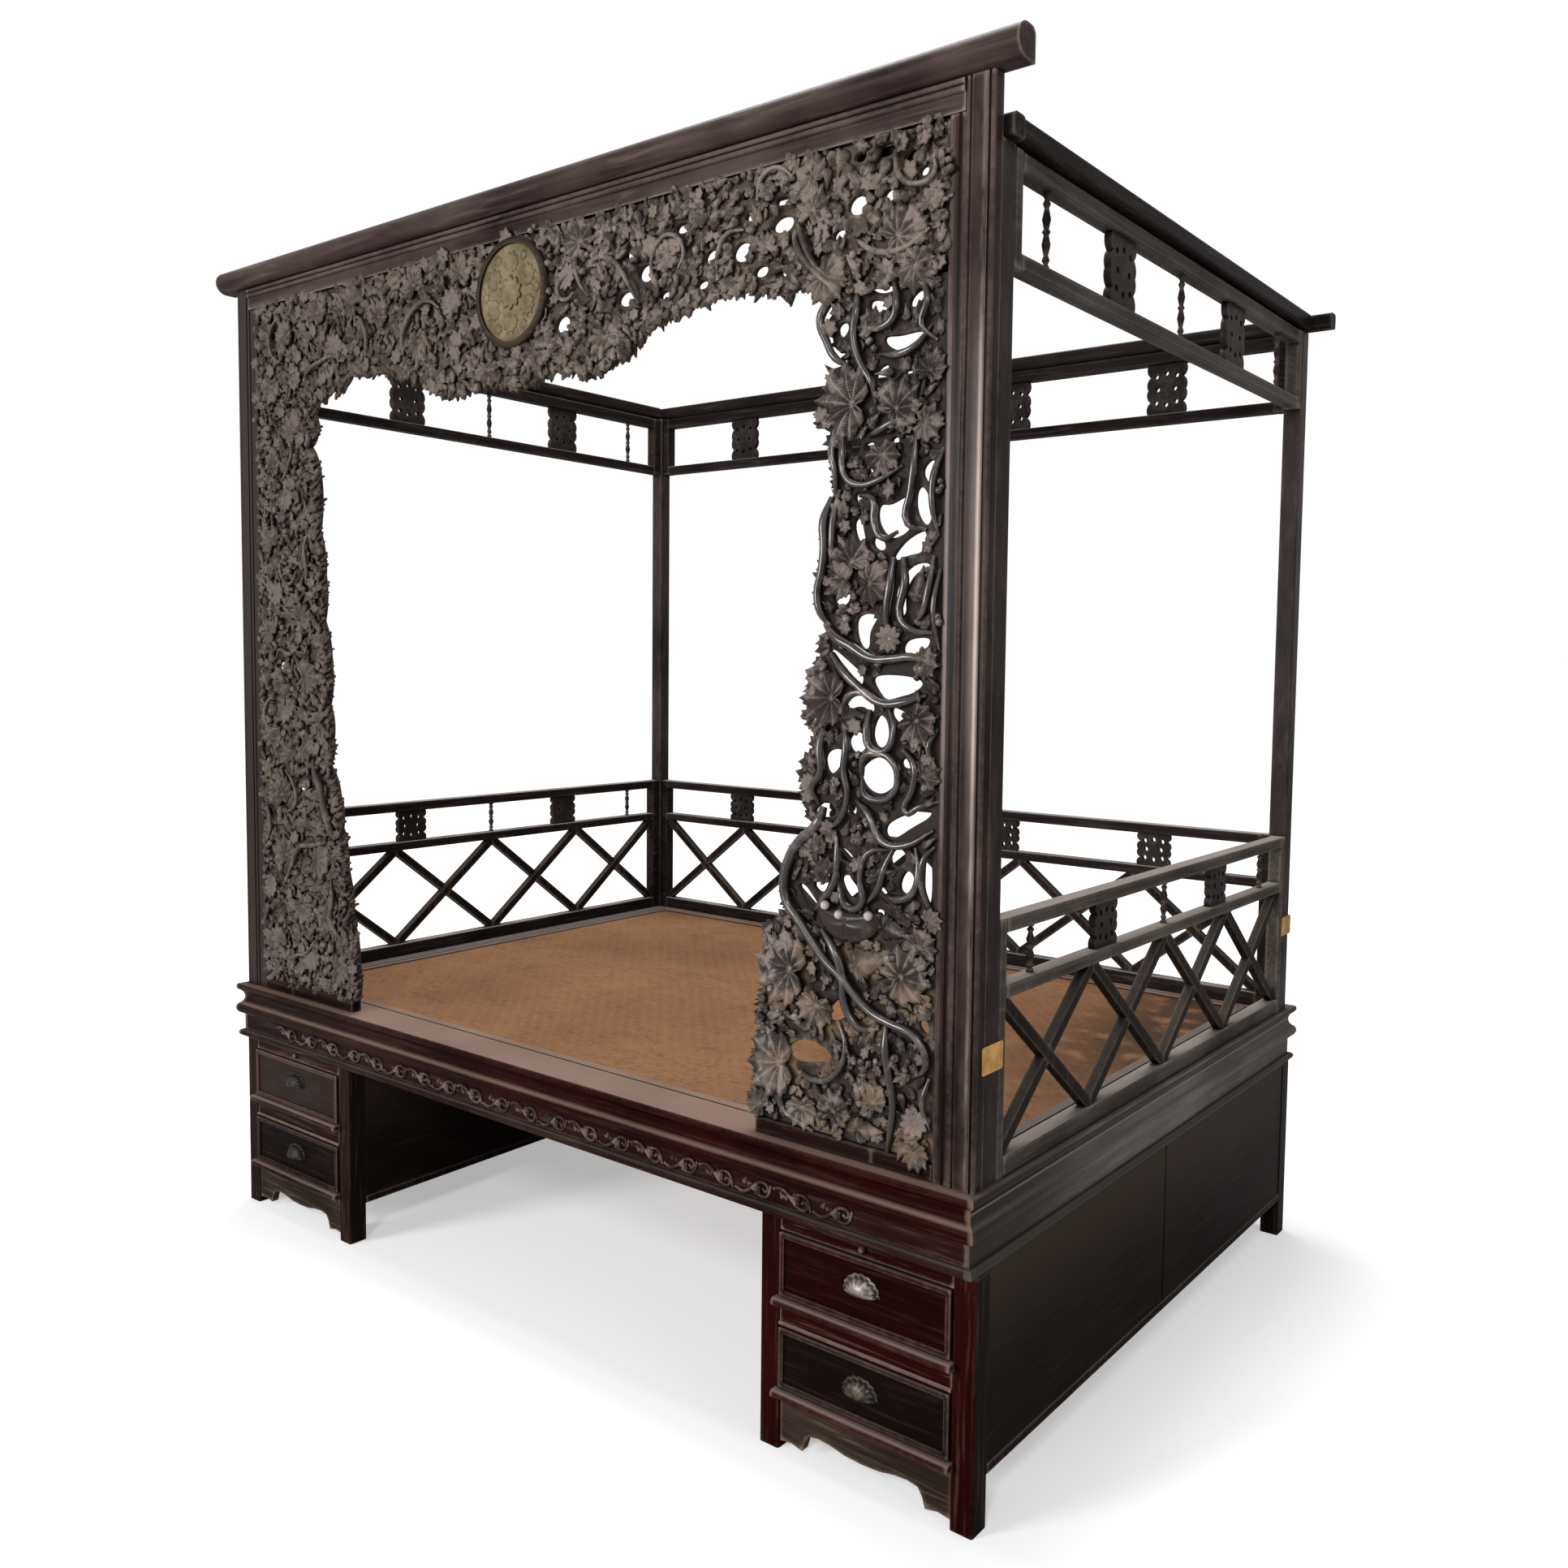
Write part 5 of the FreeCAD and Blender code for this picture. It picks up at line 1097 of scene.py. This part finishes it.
vine_runs = [run_of(vine_ground - 0.006, *run) for run in (
    (10, 735, 1105, 728, 1080, 715, 1065, 690, 1045, 667, 1010, 659, 975, 665, 945, 690, 918, 720, 885,
     750, 855, 780, 835, 805, 812, 840, 787, 880, 775, 912, 768, 938, 748, 944, 718, 918, 697),
    (9, 735, 905, 765, 875, 782, 840, 787, 795, 802, 770, 822, 757, 852, 762),
    (8.5, 865, 768, 868, 735, 875, 700, 885, 650, 880, 600, 870, 566),
    (7.5, 655, 690, 660, 640, 658, 600, 690, 580, 720, 566),
    (9, 745, 1600, 733, 1562, 735, 1520, 730, 1480, 722, 1450, 728, 1418, 745, 1395),
    (7.5, 760, 1610, 752, 1560, 750, 1515, 742, 1490),
    (9.5, 735, 1400, 760, 1378, 790, 1364, 830, 1345, 870, 1345, 905, 1348, 957, 1335),
    (8.5, 748, 1352, 775, 1325, 808, 1300, 850, 1276, 890, 1278, 930, 1290),
    (8, 866, 1500, 864, 1460, 858, 1410, 860, 1375),
    (8, 884, 1500, 892, 1460, 884, 1410, 905, 1390, 940, 1385),
    (7, 940, 1500, 935, 1450, 925, 1415, 905, 1398),
    (7, 810, 1160, 818, 1190, 845, 1198, 873, 1188, 885, 1160, 873, 1133, 846, 1124, 820, 1132, 810, 1160),
    (7, 770, 1262, 785, 1284, 808, 1292, 835, 1284, 850, 1266),
    (7, 825, 1265, 822, 1232, 832, 1205, 862, 1204, 875, 1232, 862, 1266),
    (8.5, 735, 1240, 730, 1200, 733, 1160, 715, 1135, 725, 1110),
    (7.5, 775, 1240, 783, 1205, 780, 1165, 788, 1130, 770, 1085, 735, 1070),
    (7.5, 800, 1120, 830, 1100, 858, 1060, 900, 1058, 948, 1085),
    (7, 890, 1205, 915, 1180, 912, 1145, 900, 1110, 925, 1120, 957, 1130),
    (8, 720, 935, 742, 955, 765, 990, 768, 1030, 760, 1070),
    (7.5, 765, 985, 790, 948, 820, 958, 815, 1000, 830, 1040, 870, 1048),
    (7.5, 820, 955, 850, 985, 862, 1020, 880, 1060),
    (7.5, 862, 975, 885, 972, 915, 985, 925, 1020, 915, 1055), (7, 945, 960, 932, 1000, 935, 1040, 950, 1060),
    (8.5, 758, 1920, 730, 1895, 722, 1875, 734, 1845, 752, 1815, 778, 1800),
    (8, 790, 1915, 792, 1880, 788, 1845, 800, 1805, 822, 1770, 828, 1740),
    (7.5, 860, 1915, 868, 1885, 862, 1860, 830, 1850, 800, 1860),
    (7, 910, 1915, 925, 1880, 915, 1845, 940, 1820), (7, 835, 1812, 870, 1806, 905, 1815, 930, 1845),
    (7.5, 750, 1705, 748, 1670, 756, 1635, 752, 1600),
    (7, 767, 1700, 768, 1665, 775, 1630, 800, 1615, 840, 1620, 880, 1640),
    (7, 815, 1690, 840, 1695, 870, 1705, 905, 1690),
    (7, 905, 1690, 905, 1640, 900, 1600, 895, 1550, 925, 1540),
    (7, 955, 1660, 942, 1620, 940, 1575, 948, 1530),
    (7, 800, 1600, 830, 1590, 832, 1555, 850, 1530, 873, 1540), (6.5, 948, 700, 940, 660, 950, 620),
    (6.5, 952, 1480, 945, 1420, 952, 1360), (6.5, 952, 1240, 940, 1210, 950, 1180),
    (7, 690, 660, 725, 655, 765, 668, 790, 720, 770, 760))]
vine_large = (
    (672, 830, -80, 76, 1.05), (650, 668, -95, 66, 1.1), (893, 850, 60, 60),
    (808, 858, 75, 66, 1.3, big_blade), (730, 780, -160, 44), (700, 605, 170, 40), (765, 608, 20, 42),
    (815, 590, 80, 50, 1.4, big_blade), (845, 640, -30, 42), (925, 627, 0, 26, 1, bloom), (610, 590, -60, 34),
    (925, 580, 160, 34), (930, 900, 20, 36), (860, 925, 100, 50, 1.3, big_blade), (788, 1495, -30, 50),
    (822, 1462, 95, 44), (772, 1468, -95, 38), (765, 1568, -45, 32), (752, 1282, -92, 58, 1.05),
    (915, 1252, 150, 46), (775, 1250, 82, 45, 1.5, big_blade), (930, 1165, 30, 36), (752, 1068, -120, 26),
    (912, 1442, 12, 42, 1.3, big_blade), (785, 1740, -80, 72, 1.05), (868, 1725, 55, 54),
    (845, 1660, 165, 40), (922, 1700, 100, 36), (930, 1775, 20, 36), (820, 1855, -20, 32),
    (925, 1340, 100, 32), (862, 1376, 0, 24, 1, bloom), (706, 1142, 0, 18, 1, bloom), (745, 1000, -60, 30),
    (725, 1035, -40, 34), (945, 945, 80, 26))
vine_rim = rim_leaves(
    right_board, 120, first=0.575, last=1.875, start=0.56, step=0.003, stop=0.8, level=True, inset=0.004,
    turn=-90, lean=20)
vine_carving = foliage(
    "carved_right_vine", right_board, seed=13, spacing=0.0145, tries=12000, large=vine_large,
    runs=vine_runs, ground=vine_ground, finish=vine_wood, sizes=(0.014, 0.024), need=0.9, reach=0.6,
    base=vine_board, clear=vine_clear, rim=vine_rim)
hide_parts("facade_carving_right")

fruit_x, fruit_y, fruit_z = 0.792, -0.702, 0.925
fruit_size = (0.066, 0.017, 0.036)
fruit_ribs = 6.5
rib_depth = 0.1
bead_radius = 0.0078
fruit_shape = bmesh.new()
bmesh.ops.create_uvsphere(
    fruit_shape, u_segments=56, v_segments=20, radius=1.0, matrix=Matrix.Rotation(math.pi / 2, 4, "X"))
for vert in fruit_shape.verts:
    plump = 1 - rib_depth * math.cos(math.pi * vert.co.x * fruit_ribs) ** 2 * (1 - vert.co.x ** 2)
    vert.co.y *= plump
    vert.co.z = (vert.co.z if vert.co.z < 0.3 else 0.3 + (vert.co.z - 0.3) * 0.35) * plump
    vert.co.z += 0.35 * vert.co.x ** 2
bmesh.ops.transform(fruit_shape, verts=fruit_shape.verts,
                    matrix=Matrix.Translation((fruit_x, fruit_y, fruit_z))
                    @ Matrix.Diagonal((*fruit_size, 1)))
settle("carved_fruit", fruit_shape, fruit_wood, "bed")
bead_shape = bmesh.new()
for bead_x, bead_z in ((-0.012, 0.012), (0.046, 0.017), (-0.04, 0.024)):
    bead = bmesh.ops.create_icosphere(bead_shape, subdivisions=2, radius=bead_radius)["verts"]
    bmesh.ops.translate(bead_shape, verts=bead, vec=(fruit_x + bead_x, fruit_y - 0.014, fruit_z + bead_z))
# The beads are painted near white: partly rubbed wood, partly a painted highlight standing in for their
# glints.
bead_wood_painted_bright = wood_finish(
    "rubbed bead wood with painted highlight", (0.24, 0.205, 0.18), (0.4, 0.35, 0.315), (0.5, 0.45, 0.4), rough=0.3, shine=0.4,
    corner_shade=(0.012, 0.008, 0.007))
settle("fruit_beads", bead_shape, bead_wood_painted_bright, "bed")


# The medallion: a turned ring round a gilt disc, set into the carved head a little left of its
# middle. The gilding is dull and mottled, with low flowers in relief.
def gilt_finish(name):
    made, here = new_finish(name)
    clouds = here.noise(22.0, 6.0, Roughness=0.65)
    specks = here.noise(140.0, 3.0)
    colour = clouds.between(0.3, 0.7).mixed((0.072, 0.053, 0.024), (0.15, 0.12, 0.064))
    colour = ((specks * 0.6 + clouds * 0.5).between(0.5, 0.75) * 0.5).mixed(colour, (0.2, 0.168, 0.108))
    # Painted shade: the gilding is darker in the hollows round the relief.
    colour = (here.corner(0.01).between(0.1, 0.8) * 0.5).mixed(colour, (0.045, 0.034, 0.02))
    close_finish(
        colour, 0.5 + clouds * 0.2, (clouds * 0.8 + specks * 0.2).bump(0.7, 0.0015), 0.15, 0.25 * clouds)
    return made


gilding = gilt_finish("dull gilding")
ring_lacquer = wood_finish(
    "medallion ring lacquer", (0.014, 0.0095, 0.007), (0.038, 0.027, 0.0185), (0.13, 0.1, 0.065), "x",
    rough=0.4, wear=0.5)
give(gilding, "medallion_disc")
give(ring_lacquer, "medallion_ring")
relief = bmesh.new()
relief.loops.layers.uv.new("vein")
disc_x, disc_z = -0.03, 2.034
disc_face = -0.7108
leaf_ring = 0.052
bud_ring = 0.074
ring_count = 6
flat = 0.35
lay(relief, bloom, disc_x, disc_face, disc_z, 0, 0.034, thick=flat)
for index in range(ring_count):
    angle = math.tau * index / ring_count
    lay(relief, big_vine, disc_x + leaf_ring * math.sin(angle), disc_face,
        disc_z + leaf_ring * math.cos(angle), math.degrees(angle) + 20, 0.026, thick=flat)
    lay(relief, small_bloom, disc_x + bud_ring * math.sin(angle + 0.52), disc_face,
        disc_z + bud_ring * math.cos(angle + 0.52), 0, 0.011, thick=flat)
settle("medallion_relief", relief, gilding, "bed")

# The canopy: two heavy cross beams on the posts, with the side rails lodged between them. They are
# softwood under nearly black lacquer, dusty on top, and painted paler on top as if lit from above.
canopy_colours = (0.0066, 0.0046, 0.0041), (0.0165, 0.012, 0.0106), (0.11, 0.09, 0.078)
canopy_along, canopy_back = (
    wood_finish("canopy " + name + " lacquer", *canopy_colours, along, rough=0.38, wear=0.8,
    dust_and_top_light=(1.0, (0.26, 0.236, 0.216))) for name, along in (("beam", "x"), ("rail", "y")))
give(canopy_along, "canopy_cross_beams")
give(canopy_back, "canopy_side_rails")

# The friezes and the low railings: frames of thin rails between the posts, with crossed bars below
# that are halved into each other. The right end has lost most of its lacquer and looks grey.
# The rails and bars are painted paler where they face up: dust, and painted light from above.
side_rail_wood = wood_finish(
    "side rail lacquer", (0.026, 0.0214, 0.0182), (0.082, 0.069, 0.0595), (0.21, 0.178, 0.15), "y",
    rough=0.38, wear=0.85, edge=0.016, streaks=0.1, dust_and_top_light=(1.0, (0.24, 0.207, 0.184)))
lattice_wood = wood_finish(
    "lattice lacquer", (0.0066, 0.0044, 0.0037), (0.0175, 0.012, 0.01), (0.11, 0.088, 0.072), "z",
    rough=0.38, wear=0.8, dust_and_top_light=(0.4, (0.1, 0.085, 0.073)))
give(canopy_along, "frieze_frame_back", "railing_frame_back")
give(canopy_back, "frieze_frame_left", "railing_frame_left")
give(lattice_wood, "lattice_left", "lattice_right", "lattice_back")
give(side_rail_wood, "frieze_frame_right", "railing_frame_right")

# The small turned spindles and pierced plaques, let in between the rails of the friezes and the
# railings. They are lacquered like the rails.
turned_lacquer = wood_finish(
    "spindle lacquer", (0.008, 0.0058, 0.0052), (0.017, 0.0125, 0.0112), (0.13, 0.105, 0.09), "z",
    rough=0.4, wear=0.7)
plaque_wood = carved_finish(
    "plaque wood", (0.009, 0.0068, 0.0062), (0.026, 0.019, 0.017), (0.4, 0.4, (0.12, 0.1, 0.088)),
    dust_from=0.5, dust_to=1.0)
give(turned_lacquer, "frieze_spindles", "railing_spindles")
give(plaque_wood, "frieze_plaques", "railing_plaques")

# The brass plates: squares of sheet brass over the joints of the railings and the posts. A small
# round-headed nail holds each corner.
plate_brass = metal_finish(
    "old sheet brass", (0.6, 0.34, 0.092), (0.38, 0.195, 0.052), (0.09, 0.045, 0.016), 0.36, 40)
give(plate_brass, "brass_plates")
nail_radius = 0.0024
inset = 0.007
nail_shape = bmesh.new()
plate_places = [vert.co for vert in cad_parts["brass_plates"].data.vertices]
for x_sign in (-1, 1):
    for y_sign in (-1, 1):
        own = [place for place in plate_places if place.x * x_sign > 0 and place.y * y_sign > 0]
        face_x = max(abs(place.x) for place in own)
        for y in (min(place.y for place in own) + inset, max(place.y for place in own) - inset):
            for z in (min(place.z for place in own) + inset, max(place.z for place in own) - inset):
                head = bmesh.ops.create_uvsphere(nail_shape, u_segments=10, v_segments=6, radius=nail_radius)
                bmesh.ops.scale(nail_shape, verts=head["verts"], vec=(0.5, 1, 1))
                bmesh.ops.translate(nail_shape, verts=head["verts"], vec=(x_sign * face_x, y, z))
settle("plate_nails", nail_shape, plate_brass, "bed")
